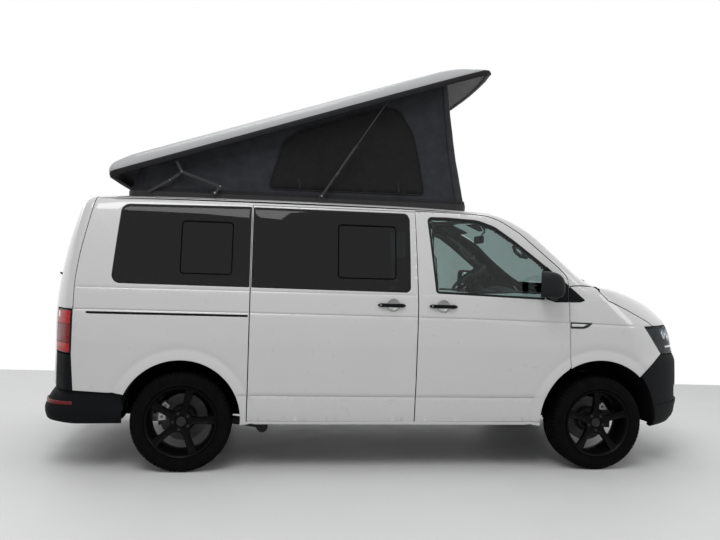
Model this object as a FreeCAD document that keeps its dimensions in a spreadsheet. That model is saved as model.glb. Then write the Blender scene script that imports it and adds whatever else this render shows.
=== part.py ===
"""Camper van: a short-wheelbase panel van with windows, one sliding door and a pop-up sleeping roof.

Frame: millimetres, +X forward, +Y to the van's left, +Z up.
The origin is on the ground, midway between the bumpers, on the centre plane.

The body is one curved hull. Its length profile is lofted from side to side, and its
cross-section trims that loft. Each panel is a slice of that hull, cut by an outline that is
drawn in side view or in plan, so neighbouring panels always share an edge and a named gap.
"""
import FreeCAD
import Part
import math
import os
import re

from FreeCAD import Vector

# ----------------------------------------------------------------------------------------
# Driving dimensions
# ----------------------------------------------------------------------------------------
SIZES = {
    # overall
    "half_length": 2452, "half_width": 952, "wheelbase": 3000, "rear_overhang": 996,
    "sill_height": 325, "roof_height": 1930,
    # running gear
    "half_track": 814, "tyre_radius": 343, "tyre_width": 245, "rim_radius": 236,
    "hub_radius": 78, "disc_radius": 165, "disc_thickness": 26, "spoke_count": 5,
    "kingpin_offset": 745,
    "front_arch_radius": 445, "rear_arch_radius": 417, "arch_rise": 20,
    # walls and gaps
    "wall": 60, "door_wall": 95, "sheet": 5, "glass": 5, "glass_inset": 8, "panel_gap": 8,
    "glass_gap": 1, "floor_height": 430, "floor_thickness": 40,
    # doors
    "b_post": 163, "slide_rear": -1015, "door_front": 1302, "door_bottom": 352,
    "door_hinge_x": 1274, "door_hinge_y": 935, "mirror_reach": 1148,
    # tailgate
    "tail_hinge_x": -2116, "tail_hinge_z": 1905,
    # pop-up roof
    "roof_tilt": 18.4, "arm_swing": 42.5, "arm_pivot_x": -1286, "arm_pivot_z": 1932,
    "shell_pivot_x": -1560, "shell_pivot_z": 2153, "shell_half_width": 803,
    "shell_length": 2930, "shell_depth": 130, "shell_wall": 24, "pivot_setback": 473,
    "tent_half_width": 712, "tent_wall": 6, "tent_rear": -1885, "tent_front": 560,
    "rail_height": 26, "strut_y": 752, "strut_foot_x": -528,
    "strut_foot_z": 1944, "strut_tube_radius": 11, "strut_rod_radius": 5,
    "strut_tube_length": 440, "link_pivot_x": -1742, "link_pivot_z": 1925, "link_y": 734,
    # cabin
    "wheel_tilt": 40, "wheel_radius": 190, "wheel_grip": 14, "wheel_boss": 58, "boss_depth": 40,
    "wheel_spoke_width": 34, "wheel_spoke_depth": 14,
    "wheel_x": 917, "wheel_y": 400, "wheel_z": 1377,
    "seat_y": 420, "seat_width": 500, "seat_x": 330, "seat_base_top": 690, "cushion_top": 830,
    "seat_base_length": 400, "seat_base_inset": 60, "cushion_length": 480,
    "back_height": 590, "back_depth": 130, "back_inset": 20, "recline": 12,
    "headrest_width": 260, "headrest_depth": 98, "headrest_height": 175, "headrest_base": 1345,
    "bench_front": -720, "bench_depth": 540, "bench_right": -560, "bench_width": 680,
    "bench_back": 138, "bench_back_base": 700, "bench_back_top": 1330, "bench_seam": 2,
    "cabinet_rear": -1950, "cabinet_length": 1800, "cabinet_inner": 420, "cabinet_depth": 380,
    "worktop_height": 1240,
    # below the floor
    "engine_length": 620, "engine_width": 560, "engine_height": 560, "engine_behind_axle": 210,
    "engine_base": 392,
    "tank_length": 720, "tank_width": 330, "tank_depth": 74, "tank_round": 22,
    "tank_rear": -680, "tank_inner": 50, "tank_base": 306,
    "muffler_radius": 80, "muffler_length": 500, "muffler_rear": -1750, "muffler_height": 290,
    "pipe_radius": 22, "pipe_length": 3630, "pipe_rear": -2330, "pipe_height": 326,
    "exhaust_y": -240,
    "rail_rear": -2250, "rail_length": 4150, "rail_half_gap": 430, "rail_thick": 70,
    "rail_low": 310, "rail_deep": 78, "beam_thick": 80, "beam_deep": 32, "beam_half": 400,
    "cradle_length": 380, "cradle_inner": 330, "cradle_wide": 65, "cradle_low": 270,
    "cradle_deep": 60,
    # steering knuckle
    "knuckle_inner": 640, "post_y": 655, "post_radius": 26, "post_low": 264, "post_length": 376,
    "bearing_radius": 55, "bearing_length": 54, "steer_arm": 150, "steer_arm_width": 30,
    "caliper_reach": 105, "caliper_thick": 73, "caliper_half": 65, "carrier_half": 30,
    "carrier_length": 175, "carrier_width": 32, "disc_slot": 42, "disc_gap": 5,
}
# lengths that follow from those
DERIVED = {
    "front_axle": "=wheelbase + rear_overhang - half_length",
    "rear_axle": "=rear_overhang - half_length",
}

doc = FreeCAD.newDocument("camper_van")
sheet = doc.addObject("Spreadsheet::Sheet", "sizes")
for row, (alias, value) in enumerate({**SIZES, **DERIVED}.items(), 1):
    sheet.set(f"A{row}", alias)
    sheet.set(f"B{row}", str(value))
    sheet.setAlias(f"B{row}", alias)
doc.recompute()


def size(alias):
    """The sheet's value of a named dimension."""
    return float(sheet.get(alias))


FRONT_AXLE, REAR_AXLE = size("front_axle"), size("rear_axle")
WHEEL_Z = size("tyre_radius")
FAR = 3000
RIGHT, LEFT = -1, 1
UP, ACROSS, ALONG = Vector(0, 0, 1), Vector(0, 1, 0), Vector(1, 0, 0)
ORIGIN = Vector(0, 0, 0)


# ----------------------------------------------------------------------------------------
# Shape helpers
# ----------------------------------------------------------------------------------------
def in_side_view(y):
    """Places an (x, z) outline in the plane at y."""
    return lambda a, b: Vector(a, y, b)


def in_plan(z):
    """Places an (x, y) outline in the plane at z."""
    return lambda a, b: Vector(a, b, z)


def in_section(x):
    """Places a (y, z) outline in the plane at x."""
    return lambda a, b: Vector(x, a, b)


def wire(path, place):
    """A closed wire. (a, b) is a corner, and (c, d, a, b) an arc through (c, d) to (a, b)."""
    ends = [place(*step[-2:]) for step in path]
    edges = []
    for index, step in enumerate(path):
        start, end = ends[index - 1], ends[index]
        if len(step) == 4:
            edges.append(Part.Arc(start, place(*step[:2]), end).toShape())
        else:
            edges.append(Part.makeLine(start, end))
    return Part.Wire(edges)


def slab(path, place, reach, inset=0.0):
    """An outline's face, moved in from its edge by inset, and extruded by the vector reach."""
    face = Part.Face(wire(path, place))
    if inset:
        face = face.makeOffset2D(-inset)
    return face.extrude(reach)


def side_slab(path, side, inset=0.0):
    """A side-view outline, extruded from the centre plane out past that side."""
    return slab(path, in_side_view(0), Vector(0, side * FAR, 0), inset)


def across_slab(path, half, inset=0.0):
    """A side-view outline, extruded from -half to half across the van."""
    return slab(path, in_side_view(-half), Vector(0, 2 * half, 0), inset)


def box(x0, x1, y0, y1, z0, z1):
    return Part.makeBox(x1 - x0, y1 - y0, z1 - z0, Vector(x0, y0, z0))


def rod(start, end, radius):
    """A round bar between two points."""
    reach = end - start
    return Part.makeCylinder(radius, reach.Length, start, reach)


def mirrored(shape):
    """The same shape on the other side of the van."""
    return shape.mirror(ORIGIN, ACROSS)


def both(shape):
    """A shape and its mirror image, as one node's two solids."""
    return Part.makeCompound(shape.Solids + mirrored(shape).Solids)


def solids_only(shape):
    """The shape's solids, without any stray face. One solid comes back on its own."""
    kept = [solid for solid in shape.Solids if solid.Volume > 500]
    return kept[0] if len(kept) == 1 else Part.makeCompound(kept)


def add_feature(label, shape):
    """A sub-part whose shape is worked out here from the sheet's sizes."""
    feature = doc.addObject("Part::Feature", label)
    feature.Shape = solids_only(shape)
    feature.Label = label
    SUBPARTS.append(feature)
    return feature


def formula(text):
    """A sheet expression. Each word is a size's name, apart from sin and cos."""
    return re.sub(r"\b(?!sin\b|cos\b)[a-z][a-z_]*", lambda word: "sizes." + word.group(), text)


def placed(item, corner):
    """Binds an object's position to three formulas."""
    for axis, text in zip("xyz", corner):
        item.setExpression(f"Placement.Base.{axis}", formula(text))
    return item


def block(name, corner, sides, tilt=0):
    """A parametric box: formulas for its low corner and sides, turned about its corner."""
    item = doc.addObject("Part::Box", name)
    item.Placement = FreeCAD.Placement(ORIGIN, FreeCAD.Rotation(ACROSS, tilt))
    for prop, text in zip(("Length", "Width", "Height"), sides):
        item.setExpression(prop, formula(text))
    return placed(item, corner)


def bar(name, start, radius, length, axis):
    """A parametric round bar along an axis: formulas for its start, radius and length."""
    item = doc.addObject("Part::Cylinder", name)
    item.Placement = FreeCAD.Placement(ORIGIN, FreeCAD.Rotation(UP, axis))
    item.setExpression("Radius", formula(radius))
    item.setExpression("Height", formula(length))
    return placed(item, start)


def fused(name, pieces):
    """Several document objects as one."""
    item = doc.addObject("Part::MultiFuse", name)
    item.Shapes = pieces
    return item


def cut_by(name, base, tool):
    """One document object less another."""
    item = doc.addObject("Part::Cut", name)
    item.Base, item.Tool = base, tool
    return item


def tool_body(name, shape):
    """A shape that only helps to cut a parametric sub-part."""
    item = doc.addObject("Part::Feature", name)
    item.Shape = shape
    return item


def sub_part(item):
    """Keeps a parametric object as one of the van's sub-parts."""
    item.Label = item.Name
    SUBPARTS.append(item)
    return item


SUBPARTS = []

# ----------------------------------------------------------------------------------------
# Hull
# ----------------------------------------------------------------------------------------
# Loft stations. Columns: y, nose set back, screen set back, header set back,
# tail set forward, roof drop
STATIONS = [
    (-size("half_width") - 14, 600, 330, 200, 205, 100),
    (-720, 205, 190, 95, 52, 30),
    (0, 0, 0, 0, 0, 0),
    (720, 205, 190, 95, 52, 30),
    (size("half_width") + 14, 600, 330, 200, 205, 100),
]
# the loft hangs this far below the section, which trims it flat
LOFT_SPARE = 50
TAIL_X = -2392
NOSE_X = 2446
ROOF_Z = size("roof_height")


def moved_in(path, inset):
    """The outline with every point moved in by inset, keeping the same lines and arcs."""
    points = [tuple(step[i:i + 2]) for step in path for i in range(0, len(step), 2)]
    area = sum(points[i - 1][0] * points[i][1] - points[i][0] * points[i - 1][1]
               for i in range(len(points)))
    turn = 1 if area > 0 else -1
    moved = []
    for index, (a, b) in enumerate(points):
        before, after = points[index - 1], points[(index + 1) % len(points)]
        into = Vector(a - before[0], b - before[1], 0).normalize()
        away = Vector(after[0] - a, after[1] - b, 0).normalize()
        normal = (Vector(-into.y, into.x, 0) + Vector(-away.y, away.x, 0)).normalize() * turn
        shift = normal * (inset / max(0.4, abs(normal.dot(Vector(-into.y, into.x, 0)))))
        moved.append((a + shift.x, b + shift.y))
    steps, used = [], 0
    for step in path:
        count = len(step) // 2
        steps.append(sum(moved[used:used + count], ()))
        used += count
    return steps


def length_profile(nose, screen, header, tail, drop, bottom):
    """Side view of the hull at one station, as an outline."""
    return [
        (TAIL_X + tail, bottom),
        (TAIL_X + tail, 1010),
        (-2328 + tail, 1520, -2222 + tail, ROOF_Z - 95 - drop / 2),
        (-2192 + tail, ROOF_Z - 45 - drop * 0.8, -2135 + tail, ROOF_Z - 28 - drop),
        (-760, ROOF_Z - drop, 720 - header / 2, ROOF_Z - 25 - drop),
        (905 - header, ROOF_Z - 70 - drop, 1100 - header, ROOF_Z - 160 - drop),
        (1715 - screen, 1345),
        (1790 - screen, 1332),
        (2130 - (nose + screen) / 2, 1228, 2352 - nose, 1090),
        (2424 - nose, 980, NOSE_X - nose, 840),
        (NOSE_X - nose, bottom),
    ]


HULLS = {}


def hull(inset, bottom=size("sill_height")):
    """The whole body as one solid, with every outer surface moved in by inset."""
    if (inset, bottom) not in HULLS:
        HULLS[inset, bottom] = shrunk(inset, bottom) if inset > 45 else skin(inset, bottom)
    return HULLS[inset, bottom]


def shrunk(inset, bottom):
    """The body scaled to leave a thick wall, where a true offset would fold at the corners."""
    full = hull(0, bottom)
    middle = Vector(0, 0, size("sill_height"))
    matrix = FreeCAD.Matrix()
    matrix.move(-middle)
    matrix.scale(1 - 2 * inset / (2 * size("half_length")), 1 - inset / size("half_width"),
                 1 - inset / (size("roof_height") - size("sill_height")))
    matrix.move(middle)
    return full.transformGeometry(matrix)


def skin(inset, bottom):
    """The body with each profile point moved in by inset."""
    wires = []
    for y, *station in STATIONS:
        profile = length_profile(*station, bottom - LOFT_SPARE)
        wires.append(wire(moved_in(profile, inset), in_side_view(y)))
    lengthwise = Part.makeLoft(wires, True, False)
    w = size("half_width")
    section = [
        (-w + 27, bottom),
        (-w + 1, 800, -w + 2, 1090),
        (-w + 52, 1480, -w + 137, 1855),
        (-w + 160, 1895, -w + 215, 1925),
        (-w + 215, 2200),
        (w - 215, 2200),
        (w - 215, 1925),
        (w - 160, 1895, w - 137, 1855),
        (w - 52, 1480, w - 2, 1090),
        (w - 1, 800, w - 27, bottom),
    ]
    crosswise = slab(moved_in(section, inset), in_section(-FAR), Vector(2 * FAR, 0, 0))
    return lengthwise.common(crosswise)


OUTER = hull(0)
INNER = hull(size("wall"), 200)
DOOR_INNER = hull(size("door_wall"), 200)
SHEET_INNER = hull(size("sheet"), 200)
WALL = OUTER.cut(INNER)
DOOR_WALL = OUTER.cut(DOOR_INNER)
SHEET = OUTER.cut(SHEET_INNER)
GLASS = hull(size("glass_inset"), 200).cut(hull(size("glass_inset") + size("glass"), 200))

# ----------------------------------------------------------------------------------------
# Outlines, in side view unless a name says otherwise
# ----------------------------------------------------------------------------------------
B_POST, SLIDE_REAR = size("b_post"), size("slide_rear")
DOOR_FRONT, DOOR_BOTTOM = size("door_front"), size("door_bottom")
FRONT_DOOR = [
    (B_POST, DOOR_BOTTOM),
    (B_POST, 1860),
    (430, 1857),
    (700, 1852, 932, 1722),
    (1230, 1462),
    (DOOR_FRONT, 1390),
    (DOOR_FRONT, DOOR_BOTTOM),
]
FRONT_DOOR_GLASS = [
    (300, 1272),
    (240, 1818),
    (430, 1820),
    (690, 1810, 890, 1668),
    (1120, 1480),
    (1180, 1252),
]
SLIDE_DOOR = [(SLIDE_REAR, DOOR_BOTTOM), (SLIDE_REAR, 1850), (B_POST, 1850), (B_POST, DOOR_BOTTOM)]
MID_GLASS = [(SLIDE_REAR + 20, 1280), (SLIDE_REAR + 20, 1828), (98, 1822), (112, 1275)]
REAR_GLASS = [(-1945, 1290), (-1886, 1812), (SLIDE_REAR - 18, 1828), (SLIDE_REAR - 18, 1280)]
TAILGATE_EDGE = [(-FAR, 1108), (-2172, 1108), (-2173, 1220), (-2150, 1440, -2078, 1868),
                 (-2060, 2100), (-FAR, 2100)]
BONNET = [
    (1560, 1292),
    (1600, 1249),
    (1740, 1191),
    (1874, 1131),
    (1960, 1092),
    (2010, 1062),
    (FAR, 1062),
    (FAR, 1500),
    (1560, 1500),
]
HEADLIGHT = [(1905, 1058), (2082, 852), (2600, 800), (2600, 1058)]
FRONT_BUMPER_EDGE = [
    (2080, 846),
    (1862, 706),
    (1862, 300),
    (2600, 300),
    (2600, 794),
]
# plan outlines
ROOF_PLAN = [(-2160, -737), (-2160, 737), (760, 737), (760, -737)]
SCREEN_PLAN = [(660, -690), (660, 690), (1700, 800), (1700, -800)]


def arch(axle_x, radius, depth_from, depth_to):
    """A wheel opening's round space, on both sides, between two distances from the centre."""
    centre_z = WHEEL_Z + size("arch_rise")
    one = Part.makeCylinder(radius, depth_to - depth_from,
                            Vector(axle_x, depth_from, centre_z), ACROSS)
    below = box(axle_x - radius, axle_x + radius, depth_from, depth_to, 0, centre_z)
    space = one.fuse(below)
    return space.fuse(mirrored(space))


WELL_INNER = 500
ARCHES = arch(FRONT_AXLE, size("front_arch_radius"), WELL_INNER, 1200).fuse(
    arch(REAR_AXLE, size("rear_arch_radius"), WELL_INNER + 60, 1200))
TAIL_SPACE = across_slab(TAILGATE_EDGE, 1200)
CENTRE_TAIL = box(-FAR, -2160, -795, 795, 545, 1200)
CORNER_LAMPS = box(-FAR, -2172, -1200, 1200, 545, 1108)
BUMPER_SPACE = box(-FAR, -1860, -1200, 1200, 0, 548)
DOOR_ZONE = box(-FAR, FAR, 741, 1200, 0, FAR).fuse(box(-FAR, FAR, -1200, -741, 0, FAR))


# the shut roof's lift arms drop into these
LIFT_CHANNEL = box(-1900, -1180, 738, 782, 1856, 2100)
LIFT_CHANNELS = LIFT_CHANNEL.fuse(mirrored(LIFT_CHANNEL))

# ----------------------------------------------------------------------------------------
# Body panels
# ----------------------------------------------------------------------------------------
def body_side(side):
    """Rear quarter, sill, door posts, cant rail and screen pillar of one side."""
    region = side_slab([(-2400, 300), (-2400, 2000), (800, 2000), (1560, 1400), (1560, 1292),
                        (DOOR_FRONT + 4, 1240), (DOOR_FRONT + 4, 300)], side)
    centre = slab(ROOF_PLAN, in_plan(1500), Vector(0, 0, 800)).fuse(
        slab(SCREEN_PLAN, in_plan(1200), Vector(0, 0, 900)))
    panel = WALL.common(region).cut(centre).cut(ARCHES).cut(TAIL_SPACE).cut(CENTRE_TAIL)
    panel = panel.cut(CORNER_LAMPS).cut(BUMPER_SPACE).cut(side_slab(FRONT_DOOR, side))
    panel = panel.cut(side_slab(REAR_GLASS, side)).cut(LIFT_CHANNELS)
    if side == RIGHT:
        return panel.cut(side_slab(SLIDE_DOOR, side))
    return panel.cut(side_slab(MID_GLASS, side))


add_feature("left_body_side", body_side(LEFT))
add_feature("right_body_side", body_side(RIGHT))
add_feature("sliding_door", WALL.common(side_slab(SLIDE_DOOR, RIGHT, size("panel_gap") / 2))
            .common(DOOR_ZONE).cut(side_slab(MID_GLASS, RIGHT)))
side_glass = [
    GLASS.common(side_slab(outline, side, size("glass_gap")))
    for side in (LEFT, RIGHT) for outline in (MID_GLASS, REAR_GLASS)
]
add_feature("side_windows",
            Part.makeCompound([pane for group in side_glass for pane in group.Solids]))

tail_hinge = Vector(size("tail_hinge_x"), 0, size("tail_hinge_z"))
hinge_relief = Part.makeCylinder(34, 2000, tail_hinge - ACROSS * 1000, ACROSS)
roof = WALL.common(slab(ROOF_PLAN, in_plan(1500), Vector(0, 0, 800), 1))
roof_hatch = box(-1700, 330, -560, 560, 1700, 2200)
add_feature("roof_panel", roof.cut(roof_hatch).cut(hinge_relief)
            .cut(box(-FAR, size("tail_hinge_x") + 8, -1000, 1000, 1500, 2200)))
screen = GLASS.common(slab(SCREEN_PLAN, in_plan(1200), Vector(0, 0, 900), 3))
add_feature("windshield", screen.common(across_slab(
    [(768, 2200), (768, 1700), (1500, 1352), (2000, 1352), (2000, 2200)], 900)))


def fender():
    """Right front wing, a pressed sheet between door, bonnet, headlight and bumper."""
    region = side_slab([(DOOR_FRONT + 8, 300), (DOOR_FRONT + 8, 1236), (1560, 1288),
                        (1600, 1245), (1740, 1187), (1874, 1127), (1896, 1066), (2066, 856),
                        (1856, 700), (1856, 300)], RIGHT)
    return SHEET.common(region).cut(ARCHES).cut(box(1000, 2500, -600, 600, 0, 2000))


add_feature("front_fenders", both(fender()))

# ----------------------------------------------------------------------------------------
# Doors, tailgate and bonnet
# ----------------------------------------------------------------------------------------
def front_door(side):
    """One front door. Its rear face is round about the hinge, so that it opens freely."""
    hinge = Vector(size("door_hinge_x"), side * size("door_hinge_y"), 0)
    swing = Part.makeCylinder(hinge.x - B_POST - size("panel_gap"), FAR, hinge, UP)
    leaf = DOOR_WALL.common(side_slab(FRONT_DOOR, side, size("panel_gap")))
    return leaf.common(DOOR_ZONE).common(swing).cut(ARCHES).cut(side_slab(FRONT_DOOR_GLASS, side))


def mirror(side):
    """Door mirror: a rounded housing on a short foot at the window's front corner."""
    reach = size("mirror_reach")
    head = Part.makeBox(110, reach - 975, 190, Vector(1065, 975, 1262))
    head = head.makeFillet(38, head.Edges)
    foot = slab([(1150, 1232), (1196, 1232), (1190, 1300), (1150, 1300)], in_side_view(925),
                Vector(0, 70, 0))
    shape = head.fuse(foot).cut(OUTER)
    return shape if side == LEFT else mirrored(shape)


for side, name in ((LEFT, "left"), (RIGHT, "right")):
    add_feature(f"front_{name}_door", front_door(side))
    add_feature(f"front_{name}_window",
                GLASS.common(side_slab(FRONT_DOOR_GLASS, side, size("glass_gap"))))
    add_feature(f"{name}_mirror", mirror(side))

tail_glass_space = slab([(-640, 1240), (-590, 1790), (590, 1790), (640, 1240)],
                        in_section(-FAR), Vector(1500, 0, 0))
tail_leaf = across_slab([(-FAR, 1112), (-2178, 1112), (-2179, 1222), (-2158, 1440, -2124, 1640),
                         (size("tail_hinge_x") - 10, 1860), (size("tail_hinge_x") - 10, 2100),
                         (-FAR, 2100)], 1200)
tail_low = box(-FAR, -2200, -789, 789, 572, 1113)
tailgate = WALL.common(tail_leaf.fuse(tail_low)).cut(tail_glass_space)
add_feature("tailgate", tailgate)
add_feature("tailgate_window", GLASS.common(slab(
    [(-640, 1240), (-590, 1790), (590, 1790), (640, 1240)], in_section(-FAR),
    Vector(1500, 0, 0), size("glass_gap"))))

bonnet_cut = across_slab(BONNET, 1200, 4).cut(
    slab([(-2000, -2000), (-2000, 2000), (1590, 2000), (1590, 800), (1720, 400),
          (1790, 0, 1720, -400), (1590, -800), (1590, -2000)], in_plan(0), Vector(0, 0, FAR)))
bonnet = OUTER.cut(hull(25, 200)).common(bonnet_cut)
add_feature("bonnet", bonnet)
cowl_plan = [(1450, -745), (1450, 745), (1596, 760), (1597, 700), (1689, 400),
             (1765, 0, 1689, -400), (1597, -700), (1596, -760)]
cowl_space = across_slab([(1450, 1346), (1450, 1200), (1900, 1200), (1900, 1346)], 900)
add_feature("cowl_panel", OUTER.cut(hull(20, 200)).common(
    slab(cowl_plan, in_plan(0), Vector(0, 0, FAR))).common(cowl_space))

# ----------------------------------------------------------------------------------------
# Ends and lamps
# ----------------------------------------------------------------------------------------
lamp_block = OUTER.cut(hull(90, 200))
lamps = lamp_block.common(side_slab(HEADLIGHT, RIGHT, 2)).common(
    box(1800, FAR, -1000, -520, 800, 1100))
add_feature("headlights", both(lamps))
add_feature("grille", OUTER.cut(hull(40, 200)).common(box(2200, FAR, -516, 516, 925, 1056)))

bumper_core = OUTER.cut(hull(70, 200)).common(across_slab(FRONT_BUMPER_EDGE, 1200, 2))
lip = OUTER.common(box(2000, FAR, -516, 516, 780, 921)).cut(hull(60, 200))
bumper = bumper_core.cut(ARCHES).cut(box(2200, FAR, -430, 430, 470, 600))
add_feature("front_bumper", bumper.fuse(lip))
REAR_BUMPER_PLAN = [
    (-1866, 905), (-2180, 932), (-2335, 905, -2382, 780), (-2436, 400, -2452, 0),
    (-2436, -400, -2382, -780), (-2335, -905, -2180, -932), (-1866, -905),
]
rear_bumper = slab(REAR_BUMPER_PLAN, in_plan(330), Vector(0, 0, 212))
rear_core = slab(REAR_BUMPER_PLAN, in_plan(330), Vector(0, 0, 180), 55).fuse(
    box(-2330, -1800, -840, 840, 300, 560))
add_feature("rear_bumper", rear_bumper.cut(rear_core).cut(ARCHES))
corner = OUTER.cut(hull(70, 200)).common(box(-FAR, -2176, -1200, -800, 546, 1104))
add_feature("tail_lights", both(corner.common(box(-FAR, 0, -1200, 0, 806, 1104))))
add_feature("rear_corner_trims", both(corner.common(box(-FAR, 0, -1200, 0, 546, 803))))

# ----------------------------------------------------------------------------------------
# Floor, bulkhead and underbody
# ----------------------------------------------------------------------------------------
floor_top = size("floor_height")
floor = hull(size("door_wall") + 12, 200).common(
    box(-2290, 1240, -1000, 1000, floor_top - size("floor_thickness"), floor_top))
well_space = arch(REAR_AXLE, size("rear_arch_radius"), 556, 1200)
floor = floor.cut(arch(FRONT_AXLE, size("front_arch_radius") + 6, 440, 1200)).cut(well_space)
add_feature("floor_pan", floor)
well_cover = arch(REAR_AXLE, size("rear_arch_radius") + 12, 546, 838).cut(well_space).common(
    box(-2400, 0, -838, 838, floor_top, 1000))
add_feature("wheel_boxes", well_cover)
bulkhead = hull(size("wall") + 42, 200).common(box(1246, 1276, -1000, 1000, 390, 1220))
add_feature("bulkhead", bulkhead.cut(arch(FRONT_AXLE, size("front_arch_radius") + 6, 440, 1200)))

frame = [
    block(f"rail_{number}", ("rail_rear", f"{side} * rail_half_gap - rail_thick / 2", "rail_low"),
          ("rail_length", "rail_thick", "rail_deep"))
    for number, side in enumerate((RIGHT, LEFT))
]
BEAMS = (-2100, -900, 200, 1000, 1880)
frame += [
    block(f"beam_{number}", (f"{x} - beam_thick / 2", "-beam_half",
                             "rail_low + rail_deep - beam_deep"),
          ("beam_thick", "2 * beam_half", "beam_deep"))
    for number, x in enumerate(BEAMS)
]
for number, y in enumerate(("cradle_inner", "-cradle_inner - cradle_wide")):
    frame.append(block(f"cradle_{number}", ("front_axle - cradle_length / 2", y, "cradle_low"),
                       ("cradle_length", "cradle_wide", "cradle_deep")))
arms = [
    rod(Vector(FRONT_AXLE + dx, 390, 300), Vector(FRONT_AXLE, 636, 236), 18)
    for dx in (-150, 150)
]
lower_arms = arms[0].fuse(arms[1])
frame.append(tool_body("left_lower_arm", lower_arms))
frame.append(tool_body("right_lower_arm", mirrored(lower_arms)))
sub_part(fused("chassis_rails", frame))

trailing = rod(Vector(-905, 560, 255), Vector(REAR_AXLE, 560, WHEEL_Z), 30)
stub = rod(Vector(REAR_AXLE, 500, WHEEL_Z), Vector(REAR_AXLE, 690, WHEEL_Z), 32)
caliper = box(REAR_AXLE - 175, REAR_AXLE - 105, 640, 720, WHEEL_Z - 60, WHEEL_Z + 60)
carrier = box(REAR_AXLE - 175, REAR_AXLE, 640, 676, WHEEL_Z - 40, WHEEL_Z + 40)
half_axle = trailing.fuse([stub, caliper, carrier]).cut(
    Part.makeCylinder(size("disc_radius") + 5, 42, Vector(REAR_AXLE, 680, WHEEL_Z), ACROSS))
cross = rod(Vector(-905, -640, 255), Vector(-905, 640, 255), 42)
add_feature("rear_axle", cross.fuse([half_axle, mirrored(half_axle)]))

sub_part(block("engine_block",
               ("front_axle - engine_behind_axle", "-engine_width / 2", "engine_base"),
               ("engine_length", "engine_width", "engine_height")))
tank = block("tank_block", ("tank_rear", "tank_inner", "tank_base"),
             ("tank_length", "tank_width", "tank_depth"))
rounded_tank = doc.addObject("Part::Fillet", "fuel_tank")
rounded_tank.Base = tank
rounded_tank.Edges = [(edge, size("tank_round"), size("tank_round")) for edge in range(1, 13)]
sub_part(rounded_tank)
muffler = bar("muffler", ("muffler_rear", "exhaust_y", "muffler_height"), "muffler_radius",
              "muffler_length", ALONG)
pipe = bar("tail_pipe", ("pipe_rear", "exhaust_y", "pipe_height"), "pipe_radius", "pipe_length",
           ALONG)
sub_part(fused("exhaust", [muffler, pipe]))

# ----------------------------------------------------------------------------------------
# Wheels and steering
# ----------------------------------------------------------------------------------------
def tyre_shape():
    """A tyre about the origin, with its axle along Y."""
    r, half, seat = size("tyre_radius"), size("tyre_width") / 2, size("rim_radius") - 7.5
    section = [
        (seat, -half + 18),
        (r - 58, -half - 2, r - 20, -half + 9),
        (r - 4, -half + 20, r, -half + 40),
        (r, half - 40),
        (r - 4, half - 20, r - 20, half - 9),
        (r - 58, half + 2, seat, half - 18),
        (seat, half - 30),
        (r - 14, half - 30),
        (r - 14, -half + 30),
        (seat, -half + 30),
    ]
    return slab_turned(section)


def slab_turned(section):
    """A (radius, y) outline turned about the Y axis."""
    return Part.Face(wire(section, lambda a, b: Vector(a, b, 0))).revolve(ORIGIN, ACROSS, 360)


def rim_shape():
    """Rim barrel, hub, five spokes and the brake disc behind them. The street side is +Y."""
    half, seat = size("tyre_width") / 2, size("rim_radius") - 8
    barrel = slab_turned([
        (seat, -half + 12), (size("rim_radius"), -half + 12), (size("rim_radius"), -half + 5),
        (seat - 12, -half + 5), (seat - 12, half - 5), (size("rim_radius"), half - 5),
        (size("rim_radius"), half - 12), (seat, half - 12),
    ])
    hub = Part.makeCylinder(size("hub_radius"), 34, Vector(0, half - 62, 0), ACROSS)
    spoke = slab([(half - 62, -34), (half - 10, -20), (half - 10, 20), (half - 62, 34)],
                 lambda a, b: Vector(20, a, b), Vector(seat - 26, 0, 0))
    spokes = []
    for number in range(int(size("spoke_count"))):
        copy = spoke.copy()
        copy.rotate(ORIGIN, ACROSS, 90 + number * 360 / size("spoke_count"))
        spokes.append(copy)
    disc = Part.makeCylinder(size("disc_radius"), size("disc_thickness"),
                             Vector(0, -114, 0), ACROSS)
    bell = Part.makeCylinder(size("hub_radius"), half + 40, Vector(0, -100, 0), ACROSS)
    return barrel.fuse([hub, disc, bell] + spokes)


TYRE, RIM = tyre_shape(), rim_shape()
for end, axle_x in (("front", FRONT_AXLE), ("rear", REAR_AXLE)):
    for side, name in ((LEFT, "left"), (RIGHT, "right")):
        for piece, shape in (("tyre", TYRE), ("rim", RIM)):
            copy = shape.copy()
            if side == RIGHT:
                copy.rotate(ORIGIN, UP, 180)
            copy.translate(Vector(axle_x, side * size("half_track"), WHEEL_Z))
            add_feature(f"{end}_{name}_{piece}", copy)


# left knuckle: stub axle, kingpin post, steering arm and brake caliper
post = bar("kingpin_post", ("front_axle", "post_y", "post_low"), "post_radius", "post_length", UP)
bearing = bar("hub_bearing", ("front_axle", "knuckle_inner", "tyre_radius"), "bearing_radius",
              "bearing_length", ACROSS)
steer_arm = block("steering_arm", ("front_axle - steer_arm", "knuckle_inner", "tyre_radius - 20"),
                  ("steer_arm", "steer_arm_width", "steer_arm_width"))
clamp = block("caliper", ("front_axle + caliper_reach", "knuckle_inner",
                          "tyre_radius - caliper_half"),
              ("caliper_thick", "kingpin_offset + 10 - knuckle_inner", "2 * caliper_half"))
carrier = block("caliper_carrier", ("front_axle", "knuckle_inner", "tyre_radius - carrier_half"),
                ("carrier_length", "carrier_width", "2 * carrier_half"))
disc_space = bar("disc_space", ("front_axle", "knuckle_inner + bearing_length", "tyre_radius"),
                 "disc_radius + disc_gap", "disc_slot", ACROSS)
left_knuckle = cut_by("left_knuckle",
                      fused("knuckle_body", [post, bearing, steer_arm, clamp, carrier]), disc_space)
sub_part(left_knuckle)
right_knuckle = doc.addObject("Part::Mirroring", "right_knuckle")
right_knuckle.Source, right_knuckle.Normal = left_knuckle, ACROSS
sub_part(right_knuckle)

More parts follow.
